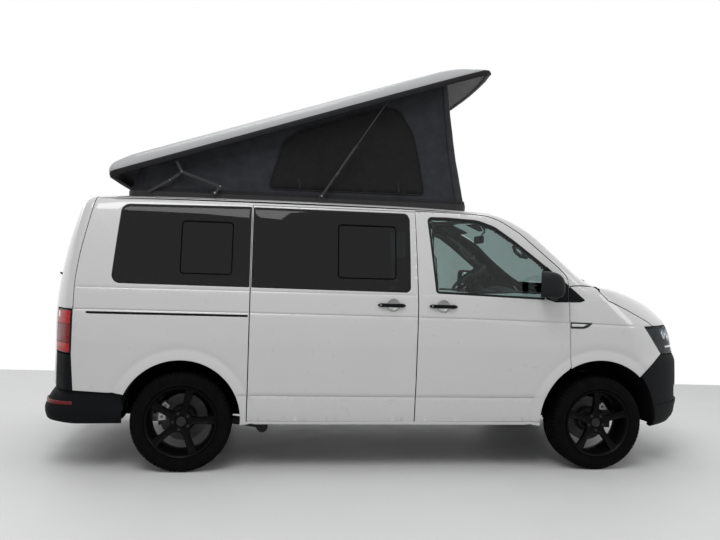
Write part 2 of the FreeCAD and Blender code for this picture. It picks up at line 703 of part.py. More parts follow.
wheel_centre = Vector(size("wheel_x"), size("wheel_y"), size("wheel_z"))
tilt = math.radians(size("wheel_tilt"))
wheel_axis = Vector(-math.sin(tilt), 0, math.cos(tilt))
hoop = doc.addObject("Part::Torus", "wheel_hoop")
hoop.Placement = FreeCAD.Placement(wheel_centre, FreeCAD.Rotation(UP, wheel_axis))
hoop.setExpression("Radius1", formula("wheel_radius - wheel_grip"))
hoop.setExpression("Radius2", formula("wheel_grip"))
boss = doc.addObject("Part::Cylinder", "wheel_boss_block")
boss.Placement = FreeCAD.Placement(wheel_centre - wheel_axis * size("boss_depth"),
                                   FreeCAD.Rotation(UP, wheel_axis))
boss.setExpression("Radius", formula("wheel_boss"))
boss.setExpression("Height", formula("boss_depth"))
wheel_pieces = [hoop, boss]
for turn in (0, 90, 180):
    turning = FreeCAD.Rotation(ACROSS, -size("wheel_tilt")) * FreeCAD.Rotation(UP, turn)
    low = Vector(0, -size("wheel_spoke_width") / 2, -16)
    spoke = doc.addObject("Part::Box", f"wheel_spoke_{turn}")
    spoke.Placement = FreeCAD.Placement(wheel_centre + turning.multVec(low), turning)
    spoke.setExpression("Length", formula("wheel_radius - 20"))
    spoke.setExpression("Width", formula("wheel_spoke_width"))
    spoke.setExpression("Height", formula("wheel_spoke_depth"))
    wheel_pieces.append(spoke)
sub_part(fused("steering_wheel", wheel_pieces))

# ----------------------------------------------------------------------------------------
# Cabin
# ----------------------------------------------------------------------------------------
dash = hull(size("wall") + 52, 200).common(across_slab(
    [(1236, 560), (1150, 900), (1096, 1180), (1120, 1290), (1236, 1312), (1480, 1296),
     (1560, 1230), (1282, 1226), (1236, 1226)], 780))
column = rod(wheel_centre - wheel_axis * 46, wheel_centre - wheel_axis * 330, 34)
add_feature("dashboard", dash.fuse(column).cut(box(900, 1242, -420, 100, 500, 850)).cut(
    arch(FRONT_AXLE, size("front_arch_radius") + 6, 440, 1200)))


def seat(name, side):
    """Cushion, back and headrest on a box base."""
    y = f"{side} * seat_y"
    base = block(f"{name}_base", ("seat_x - 40", f"{y} - seat_width / 2 + seat_base_inset",
                                  "floor_height"),
                 ("seat_base_length", "seat_width - 2 * seat_base_inset",
                  "seat_base_top - floor_height"))
    cushion = block(f"{name}_cushion", ("seat_x - 60", f"{y} - seat_width / 2", "seat_base_top"),
                    ("cushion_length", "seat_width", "cushion_top - seat_base_top"))
    back = block(f"{name}_back",
                 ("seat_x - 60 - 90 * cos(recline) + 40 * sin(recline)",
                  f"{y} - seat_width / 2 + back_inset",
                  "cushion_top - 30 - 90 * sin(recline) - 40 * cos(recline)"),
                 ("back_depth", "seat_width - 2 * back_inset", "back_height"), -size("recline"))
    rest = block(f"{name}_headrest", ("seat_x - 238", f"{y} - headrest_width / 2",
                                      "headrest_base"),
                 ("headrest_depth", "headrest_width", "headrest_height"))
    return fused(name, [base, cushion, back, rest])


both_seats = doc.addObject("Part::Compound", "front_seats")
both_seats.Links = [seat("left_seat", LEFT), seat("right_seat", RIGHT)]
sub_part(both_seats)
bench_seat = block("bench_seat", ("bench_front - bench_depth", "bench_right", "floor_height"),
                   ("bench_depth", "bench_width", "cushion_top - floor_height"))
bench_back = block("bench_back", ("bench_front - bench_depth - bench_seam - bench_back",
                                  "bench_right", "bench_back_base"),
                   ("bench_back", "bench_width", "bench_back_top - bench_back_base"))
well_block = tool_body("well_block", well_cover.fuse(well_space))
sub_part(cut_by("rear_bench", fused("bench_blocks", [bench_seat, bench_back]), well_block))
cabinet = block("cabinet_block", ("cabinet_rear", "cabinet_inner", "floor_height"),
                ("cabinet_length", "cabinet_depth", "worktop_height - floor_height"))
cabinet_well = tool_body("cabinet_well",
                         arch(REAR_AXLE, size("rear_arch_radius") + 16, 400, 900))
sub_part(cut_by("kitchen_cabinet", cabinet, cabinet_well))

# ----------------------------------------------------------------------------------------
# Pop-up roof, modelled shut and then moved to its open rest position
# ----------------------------------------------------------------------------------------
TILT, SWING = size("roof_tilt"), size("arm_swing")
ARM_X, ARM_Z = size("arm_pivot_x"), size("arm_pivot_z")
PIVOT_OPEN = Vector(size("shell_pivot_x"), 0, size("shell_pivot_z"))
reach_x, reach_z = PIVOT_OPEN.x - ARM_X, PIVOT_OPEN.z - ARM_Z
swing = math.radians(SWING)
PIVOT_SHUT = Vector(ARM_X + reach_x * math.cos(swing) - reach_z * math.sin(swing), 0,
                    ARM_Z + reach_x * math.sin(swing) + reach_z * math.cos(swing))
SHELL_REAR = PIVOT_SHUT.x - size("pivot_setback")
SHELL_BASE = PIVOT_SHUT.z - 2
SHELL_FRONT = SHELL_REAR + size("shell_length")
HALF = size("shell_half_width")


def shell_plan():
    """Plan outline of the shut roof shell."""
    return [
        (SHELL_REAR, 0, SHELL_REAR + 18, -660),
        (SHELL_REAR + 35, -750, SHELL_REAR + 130, -HALF + 20),
        (SHELL_REAR + 1300, -HALF, SHELL_FRONT - 310, -HALF + 28),
        (SHELL_FRONT - 150, -HALF + 75, SHELL_FRONT - 85, -HALF + 190),
        (SHELL_FRONT, 0, SHELL_FRONT - 85, HALF - 190),
        (SHELL_FRONT - 150, HALF - 75, SHELL_FRONT - 310, HALF - 28),
        (SHELL_REAR + 1300, HALF, SHELL_REAR + 130, HALF - 20),
        (SHELL_REAR + 35, 750, SHELL_REAR + 18, 660),
    ]


def cap(inset):
    """The shell's outline with its crowned top and sloping nose, moved in by inset."""
    top = SHELL_BASE + size("shell_depth")
    low = SHELL_BASE - 100
    body = slab(shell_plan(), in_plan(low), Vector(0, 0, 400), inset)
    nose = across_slab([(SHELL_REAR - 40, low), (SHELL_REAR - 40, top + 60),
                        (SHELL_FRONT - 600, top + 60), (SHELL_FRONT - 540, top + 18),
                        (SHELL_FRONT - 300, top - 12, SHELL_FRONT - 110, top - 76),
                        (SHELL_FRONT - 10, top - 112, SHELL_FRONT + 20, low)], 900, inset)
    crown = slab([(-HALF - 20, low), (-HALF - 20, top - 1),
                  (0, top + 24, HALF + 20, top - 1), (HALF + 20, low)],
                 in_section(SHELL_REAR - 100), Vector(size("shell_length") + 200, 0, 0), inset)
    return body.common(crown).common(nose)


def to_open(shape):
    """Moves a piece of the shut shell to the open position."""
    copy = shape.copy()
    copy.rotate(PIVOT_SHUT, ACROSS, -TILT)
    copy.translate(PIVOT_OPEN - PIVOT_SHUT)
    return copy


strut_y = size("strut_y")
seat_plane = box(-FAR, FAR, -FAR, FAR, 0, SHELL_BASE)
shell = cap(0).cut(seat_plane).cut(cap(size("shell_wall")))
STRUT_HEAD_SHUT = Vector(SHELL_REAR + 2081, strut_y, SHELL_BASE + 33)
ears = [
    box(STRUT_HEAD_SHUT.x - 14, STRUT_HEAD_SHUT.x + 14, strut_y + 10, 800,
        SHELL_BASE + 16, SHELL_BASE + 60),
    box(PIVOT_SHUT.x - 22, PIVOT_SHUT.x + 22, strut_y + 10, 775,
        SHELL_BASE - 8, SHELL_BASE + 130),
]
pin = rod(PIVOT_SHUT + ACROSS * (strut_y - 12), PIVOT_SHUT + ACROSS * (strut_y + 14), 6)
fittings = ears[0].fuse([ears[1], pin]).common(cap(3).fuse(
    box(-FAR, FAR, strut_y - 20, 776, SHELL_BASE - 20, SHELL_BASE + 20)))
add_feature("roof_shell", to_open(shell.fuse([fittings, mirrored(fittings)])))


def flat(a, b, width, thick):
    """A flat bar on edge between two points, across the van."""
    along = b - a
    bar = Part.makeBox(along.Length, thick, width, Vector(0, -thick / 2, -width / 2))
    bar.rotate(ORIGIN, ACROSS, -math.degrees(math.atan2(along.z, along.x)))
    bar.translate(a)
    return bar


def lever():
    """Left lift arm at rest: a bent flat bar from the roof rail to the shell's pivot."""
    foot = Vector(ARM_X, strut_y, ARM_Z)
    elbow = foot + Vector(36, 0, 48)
    bend = Vector(ARM_X - 233, strut_y, ARM_Z + 140)
    head = Vector(PIVOT_OPEN.x, strut_y, PIVOT_OPEN.z)
    bosses = [Part.makeCylinder(radius, 8, point - ACROSS * 4, ACROSS)
              for point, radius in ((foot, 14), (elbow, 10), (bend, 10), (head, 14))]
    bar = flat(foot, elbow, 20, 8).fuse([flat(elbow, bend, 20, 8), flat(bend, head, 20, 8)] + bosses)
    bores = [Part.makeCylinder(6.05, 40, p - ACROSS * 20, ACROSS) for p in (foot, head)]
    return bar.cut(bores)


def link():
    """Left rear link at rest: a flat bar that steadies the shell's bracket."""
    foot = Vector(size("link_pivot_x"), size("link_y"), size("link_pivot_z"))
    knee = foot + Vector(142, 0, 86)
    head = foot + Vector(220, 0, 146)
    bosses = [Part.makeCylinder(11, 6, point - ACROSS * 3, ACROSS) for point in (foot, knee, head)]
    bar = flat(foot, knee, 18, 6).fuse([flat(knee, head, 18, 6)] + bosses)
    return bar.cut(Part.makeCylinder(4.05, 40, foot - ACROSS * 20, ACROSS))


add_feature("roof_lift_arms", both(lever()))
add_feature("roof_rear_links", both(link()))

STRUT_FOOT = Vector(size("strut_foot_x"), strut_y, size("strut_foot_z"))
turned_head = STRUT_HEAD_SHUT - PIVOT_SHUT
up = math.radians(TILT)
STRUT_HEAD = Vector(
    PIVOT_OPEN.x + turned_head.x * math.cos(up) - turned_head.z * math.sin(up), strut_y,
    PIVOT_OPEN.z + turned_head.x * math.sin(up) + turned_head.z * math.cos(up))
strut_line = (STRUT_HEAD - STRUT_FOOT).normalize()
tube_end = STRUT_FOOT + strut_line * size("strut_tube_length")
tube = rod(STRUT_FOOT, tube_end, size("strut_tube_radius")).fuse(
    Part.makeCylinder(13, 12, STRUT_FOOT - ACROSS * 6, ACROSS))
tube = tube.cut(rod(STRUT_FOOT + strut_line * 20, tube_end + strut_line,
                    size("strut_rod_radius") + 1))
tube = tube.cut(Part.makeCylinder(6.05, 40, STRUT_FOOT - ACROSS * 20, ACROSS))
piston_start = tube_end - strut_line * 22
head_eye = STRUT_HEAD - strut_line * 4
piston = rod(piston_start, head_eye, size("strut_rod_radius")).fuse(
    Part.makeSphere(9, STRUT_HEAD))
add_feature("roof_strut_tubes", both(tube))
add_feature("roof_strut_rods", both(piston))

RAIL_Z = 1906
tent_half, tent_rear, tent_front = size("tent_half_width"), size("tent_rear"), size("tent_front")


def tent_plan(z, rear, front, half, corner=90):
    """Rounded rectangle of the canvas at one height."""
    cut = corner * (1 - math.sqrt(0.5))
    return wire([
        (rear, half - corner), (rear + cut, half - cut, rear + corner, half),
        (front - corner, half), (front - cut, half - cut, front, half - corner),
        (front, -half + corner), (front - cut, -half + cut, front - corner, -half),
        (rear + corner, -half), (rear + cut, -half + cut, rear, -half + corner),
    ], in_plan(z))


def tent_block(inset):
    """The tent as a full block, before the roof's underside trims it."""
    low = tent_plan(RAIL_Z + size("rail_height"), tent_rear + inset, tent_front - inset,
                    tent_half - inset)
    high = tent_plan(3000, tent_rear + 330 + inset, tent_front - 120 - inset,
                     tent_half - 14 - inset)
    return Part.makeLoft([low, high], True, True)


under_shell = to_open(box(SHELL_REAR - 500, SHELL_FRONT + 500, -1000, 1000, SHELL_BASE - 2500,
                          SHELL_BASE + size("shell_depth") - size("shell_wall") - 22))
canvas = tent_block(0).cut(tent_block(size("tent_wall"))).common(under_shell)
add_feature("tent_canvas", canvas)

rail_outer = Part.Face(tent_plan(RAIL_Z - 30, tent_rear - 8, tent_front + 8, tent_half + 8))
rail_outer = rail_outer.extrude(UP * (size("rail_height") + 29))
rail_inner = Part.Face(tent_plan(RAIL_Z - 40, tent_rear + 26, tent_front - 26, tent_half - 26))
rail_inner = rail_inner.extrude(UP * 100)
rail = rail_outer.cut(rail_inner).cut(OUTER)
feet = []
for x, z in ((ARM_X, ARM_Z), (STRUT_FOOT.x, STRUT_FOOT.z)):
    foot = box(x - 24, x + 24, 712, strut_y - 17, 1880, z + 14)
    feet.append(foot.fuse(rod(Vector(x, strut_y - 20, z), Vector(x, strut_y + 5, z), 6)))
link_x, link_z = size("link_pivot_x"), size("link_pivot_z")
feet.append(box(link_x - 16, link_x + 16, 715, size("link_y") - 5, 1880, link_z + 12).fuse(
    rod(Vector(link_x, 725, link_z), Vector(link_x, size("link_y") + 4, link_z), 4)))
half_feet = feet[0].fuse(feet[1:]).cut(OUTER)
add_feature("roof_frame", rail.fuse([half_feet, mirrored(half_feet)]))

# ----------------------------------------------------------------------------------------
# Check and export
# ----------------------------------------------------------------------------------------
doc.recompute()
for item in doc.Objects:
    if "Invalid" in item.State or "Error" in item.State:
        raise RuntimeError(f"{item.Label} failed to recompute")
for item in SUBPARTS:
    shape = item.Shape
    if shape.isNull() or not shape.isValid() or not shape.Solids:
        raise RuntimeError(f"{item.Label} has no valid solid")

os.makedirs("parts", exist_ok=True)
for item in SUBPARTS:
    item.Shape.exportStep(os.path.join("parts", f"{item.Label}.step"))
print(len(SUBPARTS), "sub-parts written")
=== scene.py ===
"""Looks of the camper van: skin panels, glass, lamps, wheels, cabin, pop-up roof and tent.

Lengths in this script are millimetres, in the model's own frame: +X forward, +Y left, +Z up,
origin on the ground. mesh_object() turns them into metres.
"""
import bpy
import math
import numpy as np
from mathutils import Matrix, Vector, noise
from mathutils.geometry import delaunay_2d_cdt


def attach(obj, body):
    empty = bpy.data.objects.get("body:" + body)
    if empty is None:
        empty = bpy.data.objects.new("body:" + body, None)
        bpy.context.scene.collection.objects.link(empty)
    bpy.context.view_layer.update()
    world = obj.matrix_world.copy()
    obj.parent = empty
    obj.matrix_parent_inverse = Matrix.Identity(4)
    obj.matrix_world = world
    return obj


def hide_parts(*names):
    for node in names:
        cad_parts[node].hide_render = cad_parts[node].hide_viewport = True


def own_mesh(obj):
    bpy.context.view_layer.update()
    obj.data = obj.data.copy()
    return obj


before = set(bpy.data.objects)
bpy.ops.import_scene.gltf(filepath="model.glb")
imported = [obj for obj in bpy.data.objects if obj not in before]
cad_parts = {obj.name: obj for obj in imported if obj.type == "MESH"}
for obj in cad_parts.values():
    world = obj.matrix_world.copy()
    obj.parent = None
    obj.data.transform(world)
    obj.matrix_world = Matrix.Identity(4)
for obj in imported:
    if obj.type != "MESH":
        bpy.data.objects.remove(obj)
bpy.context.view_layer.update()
MM = 0.001
RIGHT, LEFT = -1, 1
SIDES = (("right", RIGHT, False), ("left", LEFT, True))

# ----------------------------------------------------------------------------------------
# Curves and numbers
# ----------------------------------------------------------------------------------------


def smooth_curve(*points):
    """A monotone cubic through (position, value) points, as a function of position."""
    knots = np.array(points, float)
    at, value = knots[:, 0], knots[:, 1]
    step = np.diff(at)
    slope = np.diff(value) / step
    tangent = np.empty(len(at))
    tangent[0], tangent[-1] = slope[0], slope[-1]
    for i in range(1, len(at) - 1):
        if slope[i - 1] * slope[i] <= 0:
            tangent[i] = 0
        else:
            a, b = 2 * step[i] + step[i - 1], step[i] + 2 * step[i - 1]
            tangent[i] = (a + b) / (a / slope[i - 1] + b / slope[i])

    def curve(x):
        i = np.clip(np.searchsorted(at, x) - 1, 0, len(step) - 1)
        t = (x - at[i]) / step[i]
        inside = np.clip(t, 0, 1)
        cubic = ((2 * inside**3 - 3 * inside**2 + 1) * value[i]
                 + (inside**3 - 2 * inside**2 + inside) * step[i] * tangent[i]
                 + (3 * inside**2 - 2 * inside**3) * value[i + 1]
                 + (inside**3 - inside**2) * step[i] * tangent[i + 1])
        beyond = (t - inside) * step[i]
        return cubic + beyond * np.where(t < 0, tangent[i], tangent[i + 1])

    return curve


def smooth_max(a, b, radius):
    """The larger of two fields, rounded where they meet."""
    share = np.clip(0.5 + 0.5 * (a - b) / radius, 0, 1)
    return b + (a - b) * share + radius * share * (1 - share)


def ramp(value, start, end):
    """0 before start, 1 after end, smooth between."""
    t = np.clip((value - start) / (end - start), 0, 1)
    return t * t * (3 - 2 * t)


def bump(value, width):
    return np.exp(-(value / width)**2)


# ----------------------------------------------------------------------------------------
# The van's outer surface, as a field that is below zero inside
# ----------------------------------------------------------------------------------------
SHOULDER = 966
FRONT_ARCH = (1544, 363, 447)
REAR_ARCH = (-1466, 363, 408)
ARCH_BAND = 66
WAIST_Z, SILL_CREASE_Z, RAIL_CREASE_Z = 1250, 533, 1860
SCREEN_HEAD_X, SCREEN_FOOT_X, NOSE_LENGTH = 1100, 1715, 637

body_section = smooth_curve((250, 895), (330, 921), (420, 935), (533, 944), (800, 951),
                            (1000, 951.5), (1100, 949), (1250, 937), (1480, 901), (1700, 853),
                            (1830, 819), (1900, 800), (2050, 760))
main_crease = smooth_curve((-2300, 1104), (-1018, 1101), (142, 1096), (1294, 1080), (1950, 1060))
top_profile = smooth_curve(
    (-2330, 1868), (-2200, 1894), (-2000, 1912), (-1500, 1925), (-760, 1930), (0, 1926),
    (500, 1914), (720, 1900), (905, 1858), (1000, 1820), (1100, 1770), (1400, 1565),
    (1690, 1367), (1735, 1351), (1790, 1345), (1860, 1331), (1930, 1308), (2104, 1235),
    (2245, 1166), (2330, 1093), (2400, 1010), (2500, 860))
nose_profile = smooth_curve((250, 2340), (319, 2386), (371, 2428), (431, 2438), (466, 2446),
                            (777, 2438), (790, 2434), (828, 2417), (888, 2402), (982, 2379),
                            (1077, 2330), (1130, 2275), (1400, 1950))
tail_profile = smooth_curve((300, -2384), (548, -2390), (1012, -2391), (1153, -2384),
                            (1346, -2357), (1558, -2313), (1752, -2256), (1865, -2216),
                            (1900, -2202), (2100, -2120))
setback_share = smooth_curve((0, 0), (720, 0.5), (1100, 1), (1101, 1))


def spread(y, power):
    return (np.abs(y) / SHOULDER)**power


def setback(x, y):
    """How far the body's length profile has moved back at this distance from the centre."""
    header, screen, nose = 150 * spread(y, 2.53), 245 * spread(y, 1.875), 370 * spread(y, 3.66)
    early = header * np.clip(setback_share(np.minimum(x, SCREEN_HEAD_X)), 0, 1)
    down_screen = (x - SCREEN_HEAD_X) / (SCREEN_FOOT_X - SCREEN_HEAD_X)
    middle = header + (screen - header) * np.clip(down_screen, 0, 1)
    late = screen + (nose - screen) * np.clip((x - SCREEN_FOOT_X) / NOSE_LENGTH, 0, 1)
    return np.where(x < SCREEN_HEAD_X, early, np.where(x < SCREEN_FOOT_X, middle, late))


def top_height(x, y):
    """Height of roof, screen and bonnet."""
    source = x
    for _ in range(4):
        source = x + setback(source, y)
    crown = (100 - 30 * ramp(x, 500, 900) - 50 * ramp(x, 1350, 1560)) * spread(y, 4.1)
    ridge = 5 * bump(np.abs(y) - 560, 45) * ramp(source, 1840, 1960)
    ridge = ridge * (1 - ramp(source, 2150, 2330))
    return top_profile(source) - crown + ridge


def arch_distance(x, z, arch):
    return np.hypot(x - arch[0], np.maximum(z, arch[1]) - arch[1]) - arch[2]


def half_width(x, z):
    """Half the body's width, with its creases and wheel-arch lips."""
    width = body_section(z)
    above = z - main_crease(x)
    width = width - 3.0 * ramp(above, -1.5, 4) * (1 - 0.75 * ramp(above, 10, 120))
    waist = z - WAIST_Z
    behind = 1 - ramp(x, 120, 180)
    width = width - 2.0 * ramp(waist, -1.5, 4) * (1 - 0.5 * ramp(waist, 8, 60))
    sill = z - SILL_CREASE_Z
    along = ramp(x, -1090, -1040) * (1 - ramp(x, 1010, 1080))
    width = width - 5.0 * (1 - ramp(sill, -4, 4)) * ramp(z, 400, 520) * (0.5 + 0.5 * along)
    width = width - 8.0 * bump(above, 3.0) * (1 - ramp(x, 1870, 1920))
    width = width - 5.0 * bump(waist, 2.8) * behind - 6.0 * bump(sill + 1, 3.2) * along
    width = width - 3.0 * bump(z - RAIL_CREASE_Z, 3.4) * ramp(x, -1990,
                                                              -1950) * (1 - ramp(x, -1030, -1012))
    for arch in (FRONT_ARCH, REAR_ARCH):
        near = arch_distance(x, z, arch)
        lip = 7.0 * (1 - ramp(near, 8, ARCH_BAND)) - 5.0 * bump(near - ARCH_BAND - 8, 16)
        width = width + lip * (1 - ramp(z, 1010, 1070))
    return width


def body_field(points):
    x, y, z = points[:, 0], points[:, 1], points[:, 2]
    side = np.abs(y) - half_width(x, z)
    top = (z - top_height(x, y)) * 0.85
    shell = smooth_max(side, top, 55)
    front = x - nose_profile(z) + 600 * spread(y, 3.66)
    rear = tail_profile(z) + 205 * spread(y, 4.67) - x
    corner = 40 + 25 * ramp(z, 1040, 1150) * ramp(np.abs(y), 650, 850)
    return smooth_max(smooth_max(shell, front, corner), rear, 30)


# ----------------------------------------------------------------------------------------
# Views: flat maps of that surface
# ----------------------------------------------------------------------------------------
class View:
    """A map between (u, v) millimetres and the body's surface, by rays from an inner line."""

    def __init__(self, start_ray, flatten, reach):
        self.start_ray, self.flatten, self.reach = start_ray, flatten, reach

    def place(self, uv):
        start, ray = self.start_ray(np.asarray(uv, float))
        near = np.zeros(len(start))
        far = np.full(len(start), float(self.reach))
        for _ in range(24):
            middle = 0.5 * (near + far)
            outside = body_field(start + ray * middle[:, None]) > 0
            far = np.where(outside, middle, far)
            near = np.where(outside, near, middle)
        return start + ray * far[:, None]


def normals_at(points):
    step = 1.0
    base = [body_field(points + offset) - body_field(points - offset)
            for offset in np.eye(3) * step]
    gradient = np.stack(base, 1)
    return gradient / np.linalg.norm(gradient, axis=1)[:, None]


AXIS_Z = 1000.0
HOOP_SCALE = 950.0
NOSE_X, NOSE_SCALE = 1500.0, 850.0
TAIL_X, TAIL_SCALE = -1500.0, 850.0


def hoop_ray(uv):
    angle = uv[:, 1] / HOOP_SCALE
    start = np.stack([uv[:, 0], 0 * angle, 0 * angle + AXIS_Z], 1)
    return start, np.stack([0 * angle, -np.cos(angle), np.sin(angle)], 1)


def hoop_flat(points):
    angle = np.arctan2(points[:, 2] - AXIS_Z, -points[:, 1])
    return np.stack([points[:, 0], angle * HOOP_SCALE], 1)


def end_view(axis_x, scale, sign):
    def ray(uv):
        angle = uv[:, 0] / scale
        start = np.stack([0 * angle + axis_x, 0 * angle, uv[:, 1]], 1)
        return start, np.stack([sign * np.cos(angle), np.sin(angle), 0 * angle], 1)

    def flat(points):
        angle = np.arctan2(points[:, 1], sign * (points[:, 0] - axis_x))
        return np.stack([angle * scale, points[:, 2]], 1)

    return View(ray, flat, 1300)


HOOP = View(hoop_ray, hoop_flat, 1400)
TOP = View(lambda uv: (np.stack([uv[:, 0], uv[:, 1], 0 * uv[:, 0] + 900], 1),
                       np.tile([0.0, 0.0, 1.0], (len(uv), 1))),
           lambda p: p[:, :2].copy(), 1300)
SIDE = View(lambda uv: (np.stack([uv[:, 0], 0 * uv[:, 0], uv[:, 1]], 1),
                        np.tile([0.0, -1.0, 0.0], (len(uv), 1))),
            lambda p: p[:, [0, 2]].copy(), 1300)
NOSE = end_view(NOSE_X, NOSE_SCALE, 1)
TAIL = end_view(TAIL_X, TAIL_SCALE, -1)

# ----------------------------------------------------------------------------------------
# Outlines
# ----------------------------------------------------------------------------------------


def rounded(corners, pitch=11.0):
    """A closed outline. Each corner is (a, b) or (a, b, radius); long sides get more points."""
    count = len(corners)
    points = []
    for i, corner in enumerate(corners):
        here = np.array(corner[:2], float)
        radius = corner[2] if len(corner) > 2 else 0
        before = np.array(corners[i - 1][:2], float) - here
        after = np.array(corners[(i + 1) % count][:2], float) - here
        long_before, long_after = np.linalg.norm(before), np.linalg.norm(after)
        before, after = before / long_before, after / long_after
        half = 0.5 * math.acos(max(-1, min(1, float(before @ after))))
        if radius < 0.5 or half > 1.55:
            points.append(here)
            continue
        back = min(radius / math.tan(half), 0.49 * long_before, 0.49 * long_after)
        radius = back * math.tan(half)
        middle = here + (before + after) / np.linalg.norm(before + after) * radius / math.sin(half)
        first, last = here + before * back, here + after * back
        steps = max(3, int((math.pi - 2 * half) * radius / 5) + 2)
        a0 = math.atan2(*(first - middle)[::-1])
        turn = (math.atan2(*(last - middle)[::-1]) - a0 + math.pi) % (2 * math.pi) - math.pi
        for k in range(steps + 1):
            angle = a0 + turn * k / steps
            points.append(middle + radius * np.array([math.cos(angle), math.sin(angle)]))
    return dense(points, pitch)


def dense(points, pitch=11.0):
    """The same closed outline with no stretch longer than pitch."""
    points = [np.asarray(p, float) for p in points]
    filled = []
    for i, here in enumerate(points):
        after = points[(i + 1) % len(points)]
        length = np.linalg.norm(after - here)
        if length < 0.05:
            continue
        steps = max(1, math.ceil(length / pitch))
        filled += [here + (after - here) * k / steps for k in range(steps)]
    return np.array(filled)


def arc(centre_x, centre_z, radius, start, end, pitch=10.0):
    """Points along an arc, by angles in degrees."""
    steps = max(2, int(abs(math.radians(end - start)) * radius / pitch))
    return [(centre_x + radius * math.cos(math.radians(start + (end - start) * k / steps)),
             centre_z + radius * math.sin(math.radians(start + (end - start) * k / steps)))
            for k in range(steps + 1)]


def signed_area(loop):
    a, b = loop, np.roll(loop, -1, 0)
    return 0.5 * float(np.sum(a[:, 0] * b[:, 1] - b[:, 0] * a[:, 1]))


def anticlockwise(loop):
    return loop if signed_area(loop) > 0 else loop[::-1]


def loop_normals(loop):
    """Unit vectors that point out of a closed outline."""
    edge = np.roll(loop, -1, 0) - loop
    edge = edge / np.maximum(np.linalg.norm(edge, axis=1), 1e-9)[:, None]
    side = np.stack([edge[:, 1], -edge[:, 0]], 1) * (1 if signed_area(loop) > 0 else -1)
    mean = side + np.roll(side, 1, 0)
    mean = mean / np.maximum(np.linalg.norm(mean, axis=1), 1e-9)[:, None]
    stretch = 1 / np.clip(np.sum(mean * side, axis=1), 0.5, 1)
    return mean * stretch[:, None]


def grown(loop, amount):
    return loop + loop_normals(loop) * amount


def inside(points, loops):
    """Which points lie inside the outer outline and outside its holes."""
    result = np.zeros(len(points), bool)
    x, y = points[:, 0], points[:, 1]
    for loop in loops:
        a, b = loop, np.roll(loop, -1, 0)
        for (ax, ay), (bx, by) in zip(a, b):
            if ay == by:
                continue
            crosses = ((ay > y) != (by > y)) & (x < (bx - ax) * (y - ay) / (by - ay) + ax)
            result ^= crosses
    return result


def clear_of(points, loops, distance):
    """Which points are at least distance from every outline point."""
    keep = np.ones(len(points), bool)
    every = np.concatenate(loops)
    for start in range(0, len(points), 4000):
        part = points[start:start + 4000]
        gap = np.min(np.hypot(part[:, None, 0] - every[None, :, 0],
                              part[:, None, 1] - every[None, :, 1]), axis=1)
        keep[start:start + 4000] = gap > distance
    return keep


def triangulate(loops, pitch, extra=None):
    """Fills outlines with near-even triangles. The loops' points come first, in their order."""
    low, high = loops[0].min(0), loops[0].max(0)
    us = np.arange(low[0] + pitch / 2, high[0], pitch)
    vs = np.arange(low[1] + pitch / 2, high[1], pitch)
    grid = np.stack(np.meshgrid(us, vs), -1).reshape(-1, 2)
    if extra is not None and len(extra):
        grid = grid[clear_of(grid, [extra], pitch * 0.55)]
        extra = extra[inside(extra, loops)]
        extra = extra[clear_of(extra, loops, 4.0)]
    else:
        extra = np.zeros((0, 2))
    grid = grid[inside(grid, loops)]
    grid = grid[clear_of(grid, loops, pitch * 0.6)]
    border = np.concatenate(loops)
    edges, first = [], 0
    for loop in loops:
        count = len(loop)
        edges += [(first + k, first + (k + 1) % count) for k in range(count)]
        first += count
    cloud = np.concatenate([border, extra, grid])
    result = delaunay_2d_cdt([Vector(p) for p in cloud], edges, [], 0, 1e-4)
    verts = np.array([tuple(v) for v in result[0]])
    source = [ids[0] if len(ids) else -1 for ids in result[3]]
    faces = np.array([list(f) for f in result[2] if len(f) == 3])
    middle = verts[faces].mean(1)
    faces = faces[inside(middle, loops)]
    one, two = (verts[faces[:, k]] - verts[faces[:, 0]] for k in (1, 2))
    area = one[:, 0] * two[:, 1] - one[:, 1] * two[:, 0]
    faces[area < 0] = faces[area < 0][:, ::-1]
    order = {s: i for i, s in enumerate(source) if s >= 0}
    remap = np.full(len(verts), -1)
    for s, i in order.items():
        remap[i] = s
    spare = len(cloud)
    for i in range(len(verts)):
        if remap[i] < 0:
            remap[i] = spare
            spare += 1
    flat = np.zeros((spare, 2))
    flat[:len(cloud)] = cloud
    flat[remap] = verts
    return flat, remap[faces]


# ----------------------------------------------------------------------------------------
# Meshes
# ----------------------------------------------------------------------------------------
MATERIALS = {}


def mesh_object(name, verts, faces, materials, body, slot=None, replaces=(), face_slots=None,
                smooth=True, mirror=False):
    """A Blender mesh from millimetre vertices, riding on a body."""
    verts = np.asarray(verts, float) * MM
    faces = [tuple(int(i) for i in f) for f in faces]
    if mirror:
        verts = verts * [1, -1, 1]
        faces = [f[::-1] for f in faces]
    mesh = bpy.data.meshes.new(name)
    mesh.from_pydata(verts.tolist(), [], faces)
    for material in materials if isinstance(materials, (list, tuple)) else [materials]:
        mesh.materials.append(MATERIALS[material])
    if face_slots is not None:
        mesh.polygons.foreach_set("material_index", np.asarray(face_slots, np.int32))
    mesh.validate(clean_customdata=False)
    mesh.update()
    if smooth:
        mesh.shade_smooth()
    obj = bpy.data.objects.new(name, mesh)
    bpy.context.scene.collection.objects.link(obj)
    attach(obj, body)
    if replaces:
        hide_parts(*replaces)
    return obj


def joined(parts):
    """Several (verts, faces, face slots) meshes as one."""
    verts, faces, slots, first = [], [], [], 0
    for part_verts, part_faces, part_slots in parts:
        part_verts = np.asarray(part_verts, float)
        verts.append(part_verts)
        faces += [tuple(int(i) + first for i in f) for f in part_faces]
        if np.isscalar(part_slots):
            part_slots = [part_slots] * len(part_faces)
        slots += list(part_slots)
        first += len(part_verts)
    return np.concatenate(verts), faces, slots


EDGE_ROUND = 2.6


